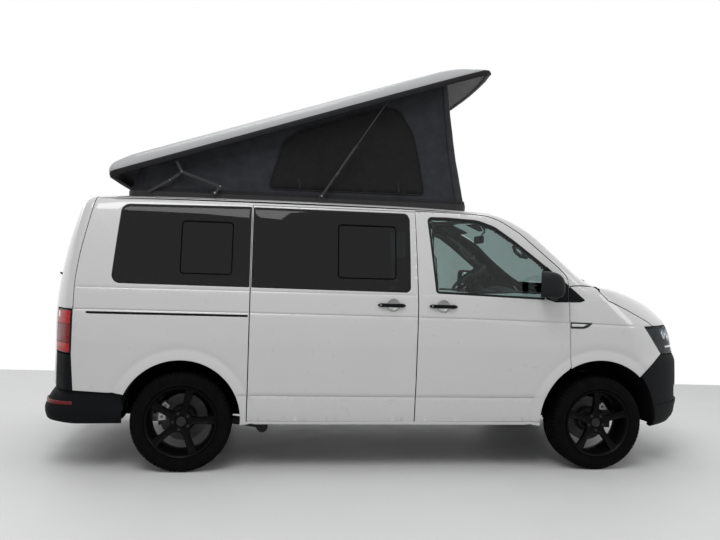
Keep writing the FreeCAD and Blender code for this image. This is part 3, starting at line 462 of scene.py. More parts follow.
def panel_mesh(view, outline, holes=(), thick=30.0, sink=0.0, pitch=20.0, extra=None,
               edge=EDGE_ROUND):
    """A closed curved panel: outer skin, rounded rim, flange and inner skin.

    outline and holes are dense loops in the view's (u, v). Returns verts, faces and face slots.
    """
    loops = [anticlockwise(outline)] + [anticlockwise(hole)[::-1] for hole in holes]
    shrunk = [loops[0] - loop_normals(loops[0]) * edge]
    shrunk += [hole + loop_normals(hole) * edge for hole in loops[1:]]
    flat, faces = triangulate(shrunk, pitch, extra)
    skin = view.place(flat)
    normal = normals_at(skin)
    verts = [skin - normal * sink]
    all_faces = [tuple(f) for f in faces]
    slots = [0] * len(faces)
    total = len(skin)
    border = sum(len(loop) for loop in loops)
    rings, first = [], 0
    for loop, small in zip(loops, shrunk):
        count = len(loop)
        outward = (loop - small) / edge
        ring = np.arange(first, first + count)
        previous = ring
        for reach, depth in ((0.62, 0.12), (0.9, 0.42), (1.0, 1.0), (1.0, None)):
            spot = small + outward * edge * reach
            if depth is None:
                place = last_place - last_normal * (thick - edge)
            else:
                last_place = view.place(spot)
                last_normal = normals_at(last_place)
                place = last_place - last_normal * (sink + edge * depth)
                if depth == 1.0:
                    last_place = place
            verts.append(place)
            current = np.arange(total, total + count)
            total += count
            after = np.roll(np.arange(count), -1)
            for k in range(count):
                all_faces.append((previous[k], current[k], current[after[k]], previous[after[k]]))
                # The flange ring takes slot 1; on painted panels that material is near-black
                # painted shade, so the gaps read dark.
                slots.append(0 if depth is not None else 1)
            previous = current
        rings.append(previous)
        first += count
    inner_index = np.full(len(flat), -1)
    inner_index[:border] = np.concatenate(rings)
    used = np.unique(faces)
    free = used[used >= border]
    inner_index[free] = np.arange(total, total + len(free))
    verts.append(skin[free] - normal[free] * (sink + thick))
    for f in faces:
        all_faces.append(tuple(inner_index[i] for i in f[::-1]))
        slots.append(1)
    return np.concatenate(verts), all_faces, slots


def compact(verts, faces):
    """Drops the points that no face uses."""
    used = np.unique(np.concatenate([np.asarray(f) for f in faces]))
    index = np.full(len(verts), -1)
    index[used] = np.arange(len(used))
    return verts[used], [tuple(index[list(f)]) for f in faces]


def oriented(verts, faces):
    """Turns the faces outward if the closed mesh came out inside out."""
    fans = np.array([(f[0], f[k], f[k + 1]) for f in faces for k in range(1, len(f) - 1)])
    one, two, three = (np.asarray(verts)[fans[:, k]] for k in range(3))
    return faces if np.sum(one * np.cross(two, three)) > 0 else [f[::-1] for f in faces]


def panel(name, view, outline, body, materials, slot, replaces=(), mirror=False, **shape):
    verts, faces, slots = panel_mesh(view, outline, **shape)
    verts, faces = compact(verts, faces)
    return mesh_object(name, verts, oriented(verts, faces), materials, body, slot, replaces, slots,
                       mirror=mirror)


def moved(verts, offset=(0, 0, 0), turn=None):
    verts = np.asarray(verts, float)
    if turn is not None:
        verts = verts @ np.array(turn).T
    return verts + np.array(offset, float)


def solid(name, mesh, materials, body, slot=None, replaces=(), mirror=False):
    """A piece from one closed mesh, turned right side out."""
    verts, faces = mesh
    return mesh_object(name, verts, oriented(verts, faces), materials, body, slot, replaces,
                       mirror=mirror)


def part(mesh, number=0, offset=(0, 0, 0), turn=None):
    """A closed mesh as one part of an assembly: points, faces and the material's number."""
    verts = moved(mesh[0], offset, turn)
    return verts, oriented(verts, mesh[1]), number


def assembly(name, parts, materials, body, slot, replaces=(), mirror=False):
    """A piece from several parts."""
    verts, faces, slots = joined(parts)
    return mesh_object(name, verts, faces, materials, body, slot, replaces, slots, mirror=mirror)


def ring_faces(rings, count, closed=True):
    """Quads between rings of count points, and from the last ring to the first if closed."""
    pairs = [(i, (i + 1) % rings) for i in range(rings if closed else rings - 1)]
    return [(i * count + k, i * count + (k + 1) % count, j * count + (k + 1) % count,
             j * count + k)
            for i, j in pairs for k in range(count)]


def side_points(points):
    """Surface points of a side-view outline on the right of the van."""
    return SIDE.place(np.asarray(points, float))


def top_points(points):
    return TOP.place(np.asarray(points, float))


# ----------------------------------------------------------------------------------------
# More views
# ----------------------------------------------------------------------------------------
TAIL_CENTRE = np.array([-1300.0, 0.0, 1050.0])
BALL_SCALE = 1050.0
BONNET_AXIS = 600.0


def ball_ray(uv):
    turn, rise = uv[:, 0] / BALL_SCALE, uv[:, 1] / BALL_SCALE
    ray = np.stack([-np.cos(rise) * np.cos(turn), np.cos(rise) * np.sin(turn), np.sin(rise)], 1)
    return np.tile(TAIL_CENTRE, (len(uv), 1)), ray


def ball_flat(points):
    away = points - TAIL_CENTRE
    turn = np.arctan2(away[:, 1], -away[:, 0])
    rise = np.arctan2(away[:, 2], np.hypot(away[:, 0], away[:, 1]))
    return np.stack([turn, rise], 1) * BALL_SCALE


def dome_ray(uv):
    angle = uv[:, 1] / BALL_SCALE
    start = np.stack([uv[:, 0], 0 * angle, 0 * angle + BONNET_AXIS], 1)
    return start, np.stack([0 * angle, np.sin(angle), np.cos(angle)], 1)


def dome_flat(points):
    angle = np.arctan2(points[:, 1], points[:, 2] - BONNET_AXIS)
    return np.stack([points[:, 0], angle * BALL_SCALE], 1)


REAR = View(ball_ray, ball_flat, 1700)
DOME = View(dome_ray, dome_flat, 1400)


def outline_on(view, points):
    """A dense closed outline in a view from mixed ("side", x, z) and ("top", x, y) points."""
    places = [(side_points if kind == "side" else top_points)([(a, b)])[0] for kind, a,
              b in points]
    return dense(view.flatten(np.array(places)))


def side_outline(corners):
    """A rounded side-view outline, anticlockwise in the hoop view's (u, v)."""
    return anticlockwise(HOOP.flatten(side_points(rounded(corners))))


# ----------------------------------------------------------------------------------------
# Outlines of the panels. Side views hold (x, z) and plans hold (x, y)
# ----------------------------------------------------------------------------------------
GAP = 3.2
SILL_Z, DOOR_LOW, DOOR_HIGH = 327, 353, 1853
SLIDE_REAR, B_GAP = -1015, [(164, DOOR_LOW), (169, 1180), (151, 1857)]
DOOR_TOP = [(151, 1857), (406, 1856), (600, 1851), (694, 1841), (760, 1820), (804, 1799),
            (932, 1720),
            (1092, 1582), (1213, 1479), (1264, 1427), (1283, 1392), (1286, 1350)]
DOOR_FRONT = [(1288, 1225), (1299, 990), (1311, 760)]
PILLAR_SEAM_Z = 1344
SEAM = [(-2068, 782), (560, 782), (680, 752), (760, 738), (1100, 747), (1400, 768), (1548, 790)]
tail_gap_line = smooth_curve((1104, -2174), (1260, -2172), (1435, -2155), (1655, -2117),
                             (1872, -2074))
TAIL_GAP = [(float(tail_gap_line(z)), float(z)) for z in np.linspace(1872, 1104, 33)]
LAMP_EDGE = [(-2176, 1100), (-2179, 799), (-2163, 560)]
BONNET_GAP = [(1536, 1306), (1595, 1249), (1740, 1190), (1874, 1131), (1957, 1094), (2004, 1063)]
LAMP_TOP_CORNER, LAMP_FOOT = (1906, 1061), (2086, 851)
MID_WINDOW = [(-1010, 1275, 12), (-1010, 1839, 12), (88, 1838, 46), (108, 1796, 60),
              (112, 1290, 40),
              (90, 1268, 40)]
REAR_WINDOW = [(-1944, 1281, 58), (-1902, 1826, 60), (-1020, 1841, 12), (-1020, 1276, 12)]
MID_PANE = [(-412, 1356, 30), (-412, 1742, 30), (8, 1742, 30), (8, 1356, 30)]
REAR_PANE = [(-1496, 1356, 30), (-1496, 1727, 30), (-1141, 1727, 30), (-1141, 1356, 30)]
DOOR_WINDOW = [(296, 1268, 26), (236, 1820, 34), (380, 1822, 200), (616, 1811, 300),
               (744, 1766, 200),
               (881, 1673, 400), (1014, 1570, 300), (1121, 1486, 24), (1108, 1243, 16)]
DOOR_CORNER = [(1112, 1250), (1118, 1492), (1206, 1419), (1284, 1356), (1286, 1229), (1184, 1227)]
FENDER_CORNER = [(1290, 1350), (1416, 1245), (1374, 1231), (1290, 1229)]


def angle_about(arch, place):
    """The direction in degrees from a wheel arch's centre to a side-view place."""
    return math.degrees(math.atan2(place[1] - arch[1], place[0] - arch[0]))


def sides(points):
    return [("side", x, z) for x, z in points]


def tops(points):
    return [("top", x, y) for x, y in points]


def crease_points(x0, x1):
    """Extra points that hold the side creases and the arch lips sharp."""
    rows = []
    for x in np.arange(x0, x1, 15.0):
        for offset in (-6.5, -3.2, 0, 3.2, 6.5, 15):
            rows.append((x, float(main_crease(x)) + offset))
        for offset in (-6, -3, 0, 3, 6):
            rows += [(x, WAIST_Z + offset), (x, SILL_CREASE_Z - 1 + offset)]
            if x < 0:
                rows.append((x, RAIL_CREASE_Z + offset))
    for arch in (FRONT_ARCH, REAR_ARCH):
        for extra_radius in (7, 36, 60, 74, 88):
            rows += arc(arch[0], arch[1], arch[2] + extra_radius, -8, 188, 13)
    rows = [(x, z) for x, z in rows if x0 < x < x1]
    return HOOP.flatten(side_points(rows))


def body_side_outline(door_edge):
    """A body side with its sill and roof rail. door_edge runs up from the sill behind the doors."""
    corner = (-1852, 537)
    opening = arc(*REAR_ARCH, angle_about(REAR_ARCH, corner) % 360, -5)
    points = [corner] + [p for p in opening if p[0] > corner[0] and p[1] > SILL_Z + 3]
    points += [(-1062, SILL_Z), (1098, SILL_Z), (1101, DOOR_LOW - 3)] + door_edge
    points += [(x + 2, z + 6) for x, z in DOOR_TOP[1:-1]]
    points += [(1290, PILLAR_SEAM_Z + 3), (1516, PILLAR_SEAM_Z + 3)]
    rail = tops([(x, -y) for x, y in SEAM[::-1]])
    return outline_on(HOOP, sides(points) + rail + sides(TAIL_GAP + LAMP_EDGE))


def right_side_outline():
    """The right side stops behind the sliding door."""
    top_x, top_z = DOOR_TOP[0]
    return body_side_outline([(SLIDE_REAR - 3, DOOR_LOW - 3), (SLIDE_REAR - 3, DOOR_HIGH + 3),
                              (B_GAP[2][0], DOOR_HIGH + 3), (top_x + 2, top_z + 6)])


def left_side_outline():
    """The left side has no sliding door, so its panel runs on to the front door."""
    return body_side_outline([(B_GAP[0][0] - GAP, DOOR_LOW - 3), (B_GAP[1][0] - GAP, B_GAP[1][1]),
                              (B_GAP[2][0] - GAP, DOOR_HIGH + 6)])


def fender_outline():
    ends = [angle_about(FRONT_ARCH, place) for place in ((1862, 706), (1311, 752))]
    points = arc(*FRONT_ARCH, *ends) + [(x + 3, z) for x, z in DOOR_FRONT[::-1]]
    points += [(1290, PILLAR_SEAM_Z - 2), (1512, PILLAR_SEAM_Z - 2)]
    points += [(x - 1, z - 2) for x, z in BONNET_GAP]
    points += [(1960, 1062), LAMP_TOP_CORNER, (1990, 958), LAMP_FOOT, (1960, 775)]
    return outline_on(HOOP, sides(points))


def front_door_outline():
    ends = [angle_about(FRONT_ARCH, place) % 360 for place in ((1306, 742), (1100, DOOR_LOW))]
    centre_x, centre_z, radius = FRONT_ARCH
    opening = arc(centre_x, centre_z, radius + 3, *ends)
    points = DOOR_TOP + DOOR_FRONT + opening[1:] + [(B_GAP[0][0] + GAP, DOOR_LOW)]
    points += [(B_GAP[1][0] + GAP, B_GAP[1][1])]
    return outline_on(HOOP, sides(points))


def slide_door_outline():
    points = [(SLIDE_REAR + GAP, DOOR_LOW), (B_GAP[0][0] - GAP, DOOR_LOW),
              (B_GAP[1][0] - GAP, B_GAP[1][1]), (B_GAP[2][0] - GAP, DOOR_HIGH),
              (SLIDE_REAR + GAP, DOOR_HIGH)]
    return outline_on(HOOP, sides(points))


HATCH = [(-1690, -552, 60), (320, -552, 60), (320, 552, 60), (-1690, 552, 60)]
HANDLE_Z = 1177
SLIDER_HANDLE, DOOR_HANDLE = (-125, 74), (247, 450)
SLIDER_DISH, DOOR_DISH = (-12, HANDLE_Z), (352, HANDLE_Z)
DISH_RADIUS = 46
SLOT_CORNERS = [(-2088, 1074, 8), (-2096, 1090, 8), (-1026, 1087, 3), (-1026, 1072, 3)]


def dish_hole(centre):
    """The round hole in a door panel behind its handle."""
    loop = np.array(arc(centre[0], centre[1], DISH_RADIUS, 0, 352, 9))
    return HOOP.flatten(side_points(loop))


# ----------------------------------------------------------------------------------------
# Materials. Pattern sizes are in metres of the model's own space
# ----------------------------------------------------------------------------------------
def new_material(name):
    material = bpy.data.materials.new(name)
    material.use_nodes = True
    nodes, links = material.node_tree.nodes, material.node_tree.links
    shader = nodes["Principled BSDF"]
    MATERIALS[name] = material
    return nodes, links, shader


def space(nodes, links, stretch=(1, 1, 1)):
    """Object coordinates, stretched."""
    where = nodes.new("ShaderNodeTexCoord")
    mapping = nodes.new("ShaderNodeMapping")
    mapping.inputs["Scale"].default_value = stretch
    links.new(where.outputs["Object"], mapping.inputs["Vector"])
    return mapping.outputs["Vector"]


def noise_node(nodes, links, vector, scale, detail=4.0):
    texture = nodes.new("ShaderNodeTexNoise")
    texture.inputs["Scale"].default_value = scale
    texture.inputs["Detail"].default_value = detail
    texture.inputs["Distortion"].default_value = 0.0
    links.new(vector, texture.inputs["Vector"])
    return texture.outputs["Fac"]


def spread_to(nodes, links, value, low, high, start=0.3, end=0.7):
    """Maps a 0..1 pattern onto low..high."""
    change = nodes.new("ShaderNodeMapRange")
    change.inputs["From Min"].default_value, change.inputs["From Max"].default_value = start, end
    change.inputs["To Min"].default_value, change.inputs["To Max"].default_value = low, high
    links.new(value, change.inputs["Value"])
    return change.outputs["Result"]


def tinted(nodes, links, value, first, second, start=0.3, end=0.7):
    """Blends two colours by a pattern."""
    ramp_node = nodes.new("ShaderNodeValToRGB")
    stops = ramp_node.color_ramp.elements
    for stop, position, color in ((stops[0], start, first), (stops[1], end, second)):
        stop.position, stop.color = position, (*color, 1)
    links.new(value, ramp_node.inputs["Fac"])
    return ramp_node.outputs["Color"]


def raised(nodes, links, shader, value, distance):
    bump_node = nodes.new("ShaderNodeBump")
    bump_node.inputs["Distance"].default_value = distance
    bump_node.inputs["Strength"].default_value = 1.0
    links.new(value, bump_node.inputs["Height"])
    links.new(bump_node.outputs["Normal"], shader.inputs["Normal"])


def surface(name, color, rough=0.5, metal=0.0, coat=0.0, specular=0.5, tint=0.08, patch=9.0,
            rough_spread=0.06, grain=None, relief=0.0, stretch=(1, 1, 1)):
    """A surface with slight changes of shade and gloss, and a fine relief."""
    nodes, links, shader = new_material(name)
    vector = space(nodes, links, stretch)
    cloud = noise_node(nodes, links, vector, patch)
    first = tuple(c * (1 - tint) for c in color)
    second = tuple(min(1, c * (1 + tint)) for c in color)
    links.new(tinted(nodes, links, cloud, first, second), shader.inputs["Base Color"])
    fine = noise_node(nodes, links, vector, patch * 5, 3.0)
    gloss = spread_to(nodes, links, fine, max(0.02, rough - rough_spread), rough + rough_spread)
    links.new(gloss, shader.inputs["Roughness"])
    shader.inputs["Metallic"].default_value = metal
    shader.inputs["Coat Weight"].default_value = coat
    shader.inputs["Coat Roughness"].default_value = 0.04
    shader.inputs["Specular IOR Level"].default_value = specular
    if relief:
        raised(nodes, links, shader, noise_node(nodes, links, vector, grain, 2.0), relief)
    return nodes, links, shader


def glass(name, color, rough, ior):
    """Tinted glass with a faint change of tint."""
    _, _, shader = surface(name, color, rough, tint=0.06, patch=3.0, rough_spread=0.01)
    shader.inputs["Transmission Weight"].default_value = 1
    shader.inputs["IOR"].default_value = ior


def tinted_screen(name, color):
    """Glass for the wide curved screen: a clear tint with a thin gloss over it."""
    nodes, links, shader = surface(name, (0.02, 0.024, 0.023), 0.08, tint=0.05, patch=3.0)
    clear, both = nodes.new("ShaderNodeBsdfTransparent"), nodes.new("ShaderNodeMixShader")
    clear.inputs["Color"].default_value = (*color, 1)
    both.inputs[0].default_value = 0.06
    links.new(clear.outputs[0], both.inputs[1])
    links.new(shader.outputs[0], both.inputs[2])
    links.new(both.outputs[0], nodes["Material Output"].inputs["Surface"])


def woven(name, color, thread, rough=0.85, fold=12.0, relief=0.0006, tint=0.22):
    """Cloth: two crossed thread patterns over slow changes of shade."""
    nodes, links, shader = surface(name, color, rough, tint=tint, patch=fold, rough_spread=0.05,
                                   specular=0.25)
    vector = space(nodes, links)
    waves = []
    for direction in ("X", "Z"):
        wave = nodes.new("ShaderNodeTexWave")
        wave.bands_direction = direction
        wave.inputs["Scale"].default_value = thread
        wave.inputs["Distortion"].default_value = 0.6
        wave.inputs["Detail"].default_value = 1
        links.new(vector, wave.inputs["Vector"])
        waves.append(wave.outputs["Fac"])
    total = nodes.new("ShaderNodeMath")
    total.operation = "MAXIMUM"
    links.new(waves[0], total.inputs[0])
    links.new(waves[1], total.inputs[1])
    raised(nodes, links, shader, total.outputs[0], relief)


def wooden(name, first, second, rough=0.45):
    """Laminate with a long wood grain."""
    nodes, links, shader = new_material(name)
    vector = space(nodes, links, (1, 5, 9))
    wave = nodes.new("ShaderNodeTexWave")
    wave.bands_direction = "Z"
    wave.inputs["Scale"].default_value = 1.6
    wave.inputs["Distortion"].default_value = 7
    wave.inputs["Detail"].default_value = 4
    wave.inputs["Detail Scale"].default_value = 1.4
    links.new(vector, wave.inputs["Vector"])
    links.new(tinted(nodes, links, wave.outputs["Fac"], first, second, 0.1, 0.9),
              shader.inputs["Base Color"])
    gloss = spread_to(nodes, links, wave.outputs["Fac"], rough - 0.06, rough + 0.08, 0, 1)
    links.new(gloss, shader.inputs["Roughness"])
    raised(nodes, links, shader, wave.outputs["Fac"], 0.0002)


surface("white_paint", (0.545, 0.548, 0.54), 0.30, coat=1.0, tint=0.012, patch=2.5,
        rough_spread=0.03,
        grain=900, relief=0.000012)
# Painted shade: near-black for the flanges and inner skins of the painted panels, so the panel gaps
# read dark; the real inner faces are white paint.
surface("painted_gap_shade", (0.02, 0.02, 0.022), 0.6, tint=0.1, specular=0.2)
surface("shell_white", (0.42, 0.425, 0.43), 0.36, coat=0.4, tint=0.02, patch=4, grain=500,
        relief=0.00003)
surface("rubber", (0.008, 0.008, 0.009), 0.65, tint=0.2, specular=0.15)
surface("seal_rubber", (0.008, 0.008, 0.009), 0.6, tint=0.25, patch=20, specular=0.15)
surface("tyre_rubber", (0.0035, 0.0035, 0.004), 0.8, tint=0.3, patch=14, specular=0.04, grain=260,
        relief=0.0003)
surface("dark_plastic", (0.0065, 0.007, 0.008), 0.62, tint=0.12, patch=16, specular=0.06,
        grain=1400,
        relief=0.00012)
surface("rough_plastic", (0.0035, 0.0035, 0.004), 0.85, tint=0.3, patch=10, specular=0.05,
        grain=500,
        relief=0.0005)
surface("mirror_plastic", (0.012, 0.013, 0.015), 0.5, tint=0.1, patch=16, specular=0.12,
        grain=1400,
        relief=0.0001)
surface("gloss_black", (0.004, 0.004, 0.005), 0.14, coat=0.2, tint=0.2, specular=0.25)
surface("black_alloy", (0.0024, 0.0024, 0.0027), 0.36, coat=0.01, specular=0.06, tint=0.15,
        patch=12, grain=1100,
        relief=0.00003)
surface("bolt_steel", (0.20, 0.205, 0.21), 0.4, metal=1.0, patch=60)
surface("disc_steel", (0.055, 0.055, 0.057), 0.5, metal=0.8, patch=10, tint=0.15, rough_spread=0.1,
        grain=300, relief=0.00008)
surface("rough_iron", (0.022, 0.021, 0.020), 0.8, metal=0.2, tint=0.35, patch=18, grain=220,
        relief=0.0006)
surface("cast_alloy", (0.55, 0.56, 0.57), 0.45, metal=0.8, tint=0.12, patch=16, grain=260,
        relief=0.0004)
surface("black_steel", (0.010, 0.010, 0.011), 0.42, metal=0.2, tint=0.2, patch=25)
surface("bright_steel", (0.62, 0.63, 0.65), 0.22, metal=1.0, tint=0.05, patch=40)
surface("exhaust_steel", (0.30, 0.28, 0.26), 0.5, metal=1.0, tint=0.3, patch=8, grain=90,
        relief=0.0004)
surface("undercoat", (0.014, 0.014, 0.015), 0.8, tint=0.35, patch=9, grain=180, relief=0.0008)
surface("lining_grey", (0.20, 0.20, 0.205), 0.85, tint=0.12, patch=14, grain=420, relief=0.0004)
surface("cabin_trim", (0.032, 0.033, 0.036), 0.62, tint=0.12, patch=12, grain=900, relief=0.0002)
surface("vinyl_floor", (0.10, 0.10, 0.105), 0.55, tint=0.25, patch=24, grain=200, relief=0.0003)
surface("worktop", (0.13, 0.13, 0.135), 0.35, tint=0.3, patch=90)
surface("chrome", (0.80, 0.81, 0.83), 0.07, metal=1.0, tint=0.03, rough_spread=0.03)
surface("mirror_glass", (0.75, 0.77, 0.78), 0.03, metal=1.0, tint=0.02, rough_spread=0.01)
surface("lamp_red", (0.42, 0.008, 0.010), 0.18, coat=0.12, specular=0.2, tint=0.12, patch=30,
        grain=160,
        relief=0.0006)
surface("lamp_dark_red", (0.19, 0.004, 0.006), 0.18, coat=0.12, specular=0.2, tint=0.15, patch=30,
        grain=160,
        relief=0.0006)
surface("amber", (0.55, 0.16, 0.015), 0.2, coat=1.0, tint=0.1, patch=40, grain=200, relief=0.0004)
surface("white_lens", (0.62, 0.63, 0.65), 0.1, coat=1.0, tint=0.06, patch=40, grain=150,
        relief=0.0006)
surface("reflector_red", (0.13, 0.006, 0.008), 0.3, coat=0.1, specular=0.2, tint=0.3, patch=60,
        grain=500,
        relief=0.0005)
surface("wheel_leather", (0.013, 0.013, 0.014), 0.48, tint=0.2, patch=30, grain=700, relief=0.0002)
surface("roof_rail_black", (0.013, 0.013, 0.014), 0.5, tint=0.2, patch=20, specular=0.3)
surface("lamp_dark", (0.022, 0.023, 0.025), 0.4, specular=0.3, tint=0.2, patch=30, grain=300,
        relief=0.0002)
surface("lamp_rim", (0.010, 0.006, 0.006), 0.35, specular=0.2, tint=0.3, patch=30)
surface("slider_frame", (0.001, 0.001, 0.0012), 0.6, specular=0.03, tint=0.2, patch=30)
surface("coach_light", (0.66, 0.67, 0.66), 0.5, tint=0.03)
glass("privacy_glass", (0.012, 0.014, 0.016), 0.015, 1.33)
glass("clear_glass", (0.40, 0.475, 0.46), 0.0, 1.33)
tinted_screen("screen_glass", (0.64, 0.70, 0.69))
glass("lamp_glass", (0.66, 0.68, 0.69), 0.0, 1.02)
woven("canvas", (0.024, 0.025, 0.029), 210)
woven("net", (0.0075, 0.0075, 0.0085), 330, relief=0.0012)
woven("webbing", (0.012, 0.012, 0.014), 420, rough=0.8)
woven("seat_cloth", (0.030, 0.031, 0.035), 300, fold=20)
woven("seat_side", (0.018, 0.018, 0.020), 260, fold=20)
wooden("cabinet_front", (0.30, 0.27, 0.235), (0.37, 0.335, 0.295))


# ----------------------------------------------------------------------------------------
# Body panels
# ----------------------------------------------------------------------------------------
# Outer skin in white paint; the flange and inner skin take the near-black painted gap shade.
PAINTED = ["white_paint", "painted_gap_shade"]


def body_panels():
    mid_hole = side_outline(MID_WINDOW)
    rear_hole = side_outline(REAR_WINDOW)
    door_hole = side_outline(DOOR_WINDOW)
    slot_hole = side_outline(SLOT_CORNERS)
    creases = crease_points(-2300, 1300)
    panel("right_side_panel", HOOP, right_side_outline(), "van_body", PAINTED, "white_paint",
          ["right_body_side"], holes=[rear_hole, slot_hole], thick=45, extra=creases, pitch=22)
    panel("left_side_panel", HOOP, left_side_outline(), "van_body", PAINTED, "white_paint",
          ["left_body_side"], holes=[rear_hole, mid_hole], thick=45, extra=creases, pitch=22,
          mirror=True)
    panel("sliding_door_panel", HOOP, slide_door_outline(), "van_body", PAINTED, "white_paint",
          ["sliding_door"], holes=[mid_hole, dish_hole(SLIDER_DISH)], thick=45, extra=creases,
          pitch=22)
    for name, side, flip in SIDES:
        panel(f"{name}_door_panel", HOOP, front_door_outline(), f"front_{name}_door", PAINTED,
              "white_paint", [f"front_{name}_door"], holes=[door_hole, dish_hole(DOOR_DISH)],
              thick=45, extra=creases,
              pitch=22, mirror=flip)
        panel(f"{name}_fender_panel", HOOP, fender_outline(), "van_body", PAINTED, "white_paint",
              ["front_fenders"] if side == RIGHT else [], thick=12, pitch=22,
              extra=crease_points(1290, 2010), mirror=flip)


def arm_slot(side):
    """A slot that the shut roof's lift arm drops into."""
    y = side * 754
    return [(-1690, y - 14, 8), (-1200, y - 14, 8), (-1200, y + 14, 8), (-1690, y + 14, 8)]


def roof_outline():
    seam = [(x, y - 2 * GAP) for x, y in SEAM[:3]]
    right = [(x, -y) for x, y in seam]
    rear = [(-2096, 600), (-2104, 0), (-2096, -600)]
    return dense(right + HEADER + seam[::-1] + rear)


HEADER = [(742, -700), (770, -560), (800, -300), (808, 0), (800, 300), (770, 560), (742, 700)]
SCREEN_TOP = [(748, -706), (776, -560), (806, -300), (814, 0), (806, 300), (776, 560), (748, 706)]
SCREEN_LOW = [(1535, 776), (1585, 620), (1650, 420), (1696, 200), (1708, 0), (1696, -200),
              (1650, -420),
              (1585, -620), (1535, -776)]


def top_panels():
    panel("roof_skin", TOP, roof_outline(), "van_body", PAINTED, "white_paint", ["roof_panel"],
          holes=[rounded(HATCH)] + [rounded(arm_slot(side)) for side in (LEFT, RIGHT)], thick=30,
          pitch=26)
    right = [(x, -(y - 2 * GAP)) for x, y in SEAM[3:]]
    left = [(x, -y) for x, y in right]
    screen = dense(SCREEN_TOP + left[1:-1] + SCREEN_LOW + right[-2:0:-1])
    panel("screen_glass", TOP, screen, "van_body", ["screen_glass"] * 2, "clear_glass",
          ["windshield"], thick=5, sink=3, pitch=24)
    rear = top_points([(1566, -800), (1604, -720), (1652, -600), (1722, -400), (1765, -200),
                       (1776, 0), (1765, 200), (1722, 400), (1652, 600), (1604, 720), (1566, 800)])
    gap = side_points([(x + 2, z + 3) for x, z in BONNET_GAP])
    left_gap = gap * [1, -1, 1]
    nose = NOSE.place(np.array([(u, 1062) for u in np.linspace(-845, 845, 61)]))
    ring = np.concatenate([gap[::-1], rear, left_gap, nose[::-1]])
    panel("bonnet_skin", DOME, dense(DOME.flatten(ring)), "bonnet", PAINTED, "white_paint",
          ["bonnet"],
          thick=18, pitch=20)


def tail_opening():
    """The tailgate's window opening."""
    window = TAIL.place(np.array([(-640, 1250), (-600, 1775), (600, 1775), (640, 1250)]))
    return anticlockwise(rounded([tuple(p) + (60,) for p in REAR.flatten(window)]))


def tail_panels():
    side = side_points([(x - 4, z) for x, z in TAIL_GAP])
    top = top_points([(-2073, -770), (-2105, -600), (-2112, 0), (-2105, 600), (-2073, 770)])
    other = side * [1, -1, 1]
    foot = TAIL.place(np.array([(-652, 572), (-400, 572), (0, 572), (400, 572), (652, 572)]))
    inner_top = TAIL.place(np.array([(653, 1106), (654, 840)]))
    inner_other = inner_top[::-1] * [1, -1, 1]
    ring = np.concatenate([side[::-1], top, other, inner_top, foot[::-1], inner_other])
    outline = dense(REAR.flatten(ring))
    hole = tail_opening()
    panel("tailgate_skin", REAR, outline, "tailgate", PAINTED, "white_paint", ["tailgate"],
          holes=[hole], thick=45, pitch=24)
    panel("tailgate_pane", REAR, grown(hole, -3), "tailgate", ["privacy_glass"] * 2,
          "privacy_glass",
          ["tailgate_window"], thick=5, sink=3, pitch=30)


def side_glass():
    for name, side, flip in SIDES:
        for label, corners in (("mid", MID_WINDOW), ("rear", REAR_WINDOW)):
            pane = grown(side_outline(corners), -3)
            panel(f"{name}_{label}_pane", HOOP, pane, "van_body", ["privacy_glass"] * 2,
                  "privacy_glass",
                  ["side_windows"] if side == RIGHT and label == "mid" else [], thick=5, sink=2.5,
                  pitch=30, mirror=flip)
        pane = grown(side_outline(DOOR_WINDOW), -3)
        panel(f"{name}_door_pane", HOOP, pane, f"front_{name}_door", ["clear_glass"] * 2,
              "clear_glass",
              [f"front_{name}_window"], thick=5, sink=4, pitch=30, mirror=flip)


body_panels()
top_panels()
tail_panels()
side_glass()


# ----------------------------------------------------------------------------------------
# Wheels
# ----------------------------------------------------------------------------------------
def revolved(profile, angles, depth=None):
    """A ring mesh: a closed (radius, y) profile turned about the Y axis at the origin.

    depth(angle index, profile index) takes a little off the radius there.
    """
    verts = []
    for a, angle in enumerate(angles):
        for p, (radius, y) in enumerate(profile):
            r = radius - (depth(a, p) if depth else 0)
            verts.append((r * math.cos(angle), y, r * math.sin(angle)))
    return np.array(verts), ring_faces(len(angles), len(profile))


def even_turn(count):
    return [2 * math.pi * k / count for k in range(count)]


def lathe(profile, count=64):
    """A solid of revolution about Y from an open (radius, y) profile that ends on the axis."""
    verts, faces = [], []
    rings = []
    for radius, y in profile:
        if radius < 0.01:
            rings.append([len(verts)])
            verts.append((0, y, 0))
        else:
            rings.append(list(range(len(verts), len(verts) + count)))
            verts += [(radius * math.cos(t), y, radius * math.sin(t)) for t in even_turn(count)]
    for low, high in zip(rings, rings[1:]):
        for k in range(count):
            n = (k + 1) % count
            if len(low) == 1 and len(high) == 1:
                continue
            if len(low) == 1:
                faces.append((low[0], high[n], high[k]))
            elif len(high) == 1:
                faces.append((low[k], low[n], high[0]))
            else:
                faces.append((low[k], low[n], high[n], high[k]))
    return np.array(verts), faces


def turn_about(axis, degrees):
    """A rotation matrix about axis 0, 1 or 2."""
    a, b = (axis + 1) % 3, (axis + 2) % 3
    matrix = np.eye(3)
    matrix[a, a] = matrix[b, b] = math.cos(math.radians(degrees))
    matrix[b, a] = math.sin(math.radians(degrees))
    matrix[a, b] = -matrix[b, a]
    return matrix


def turn_x(degrees):
    return turn_about(0, degrees)


def turn_y(degrees):
    """Turns from +Z towards +X by that angle."""
    return turn_about(1, degrees)


def turn_z(degrees):
    return turn_about(2, degrees)


def loft(sections):
    """Joins equal-length rings of points. The first and last rings are capped."""
    count, rings = len(sections[0]), len(sections)
    verts = np.concatenate([np.asarray(s, float) for s in sections])
    faces = ring_faces(rings, count, closed=False)
    faces.append(tuple(range(count))[::-1])
    faces.append(tuple((rings - 1) * count + k for k in range(count)))
    return verts, faces


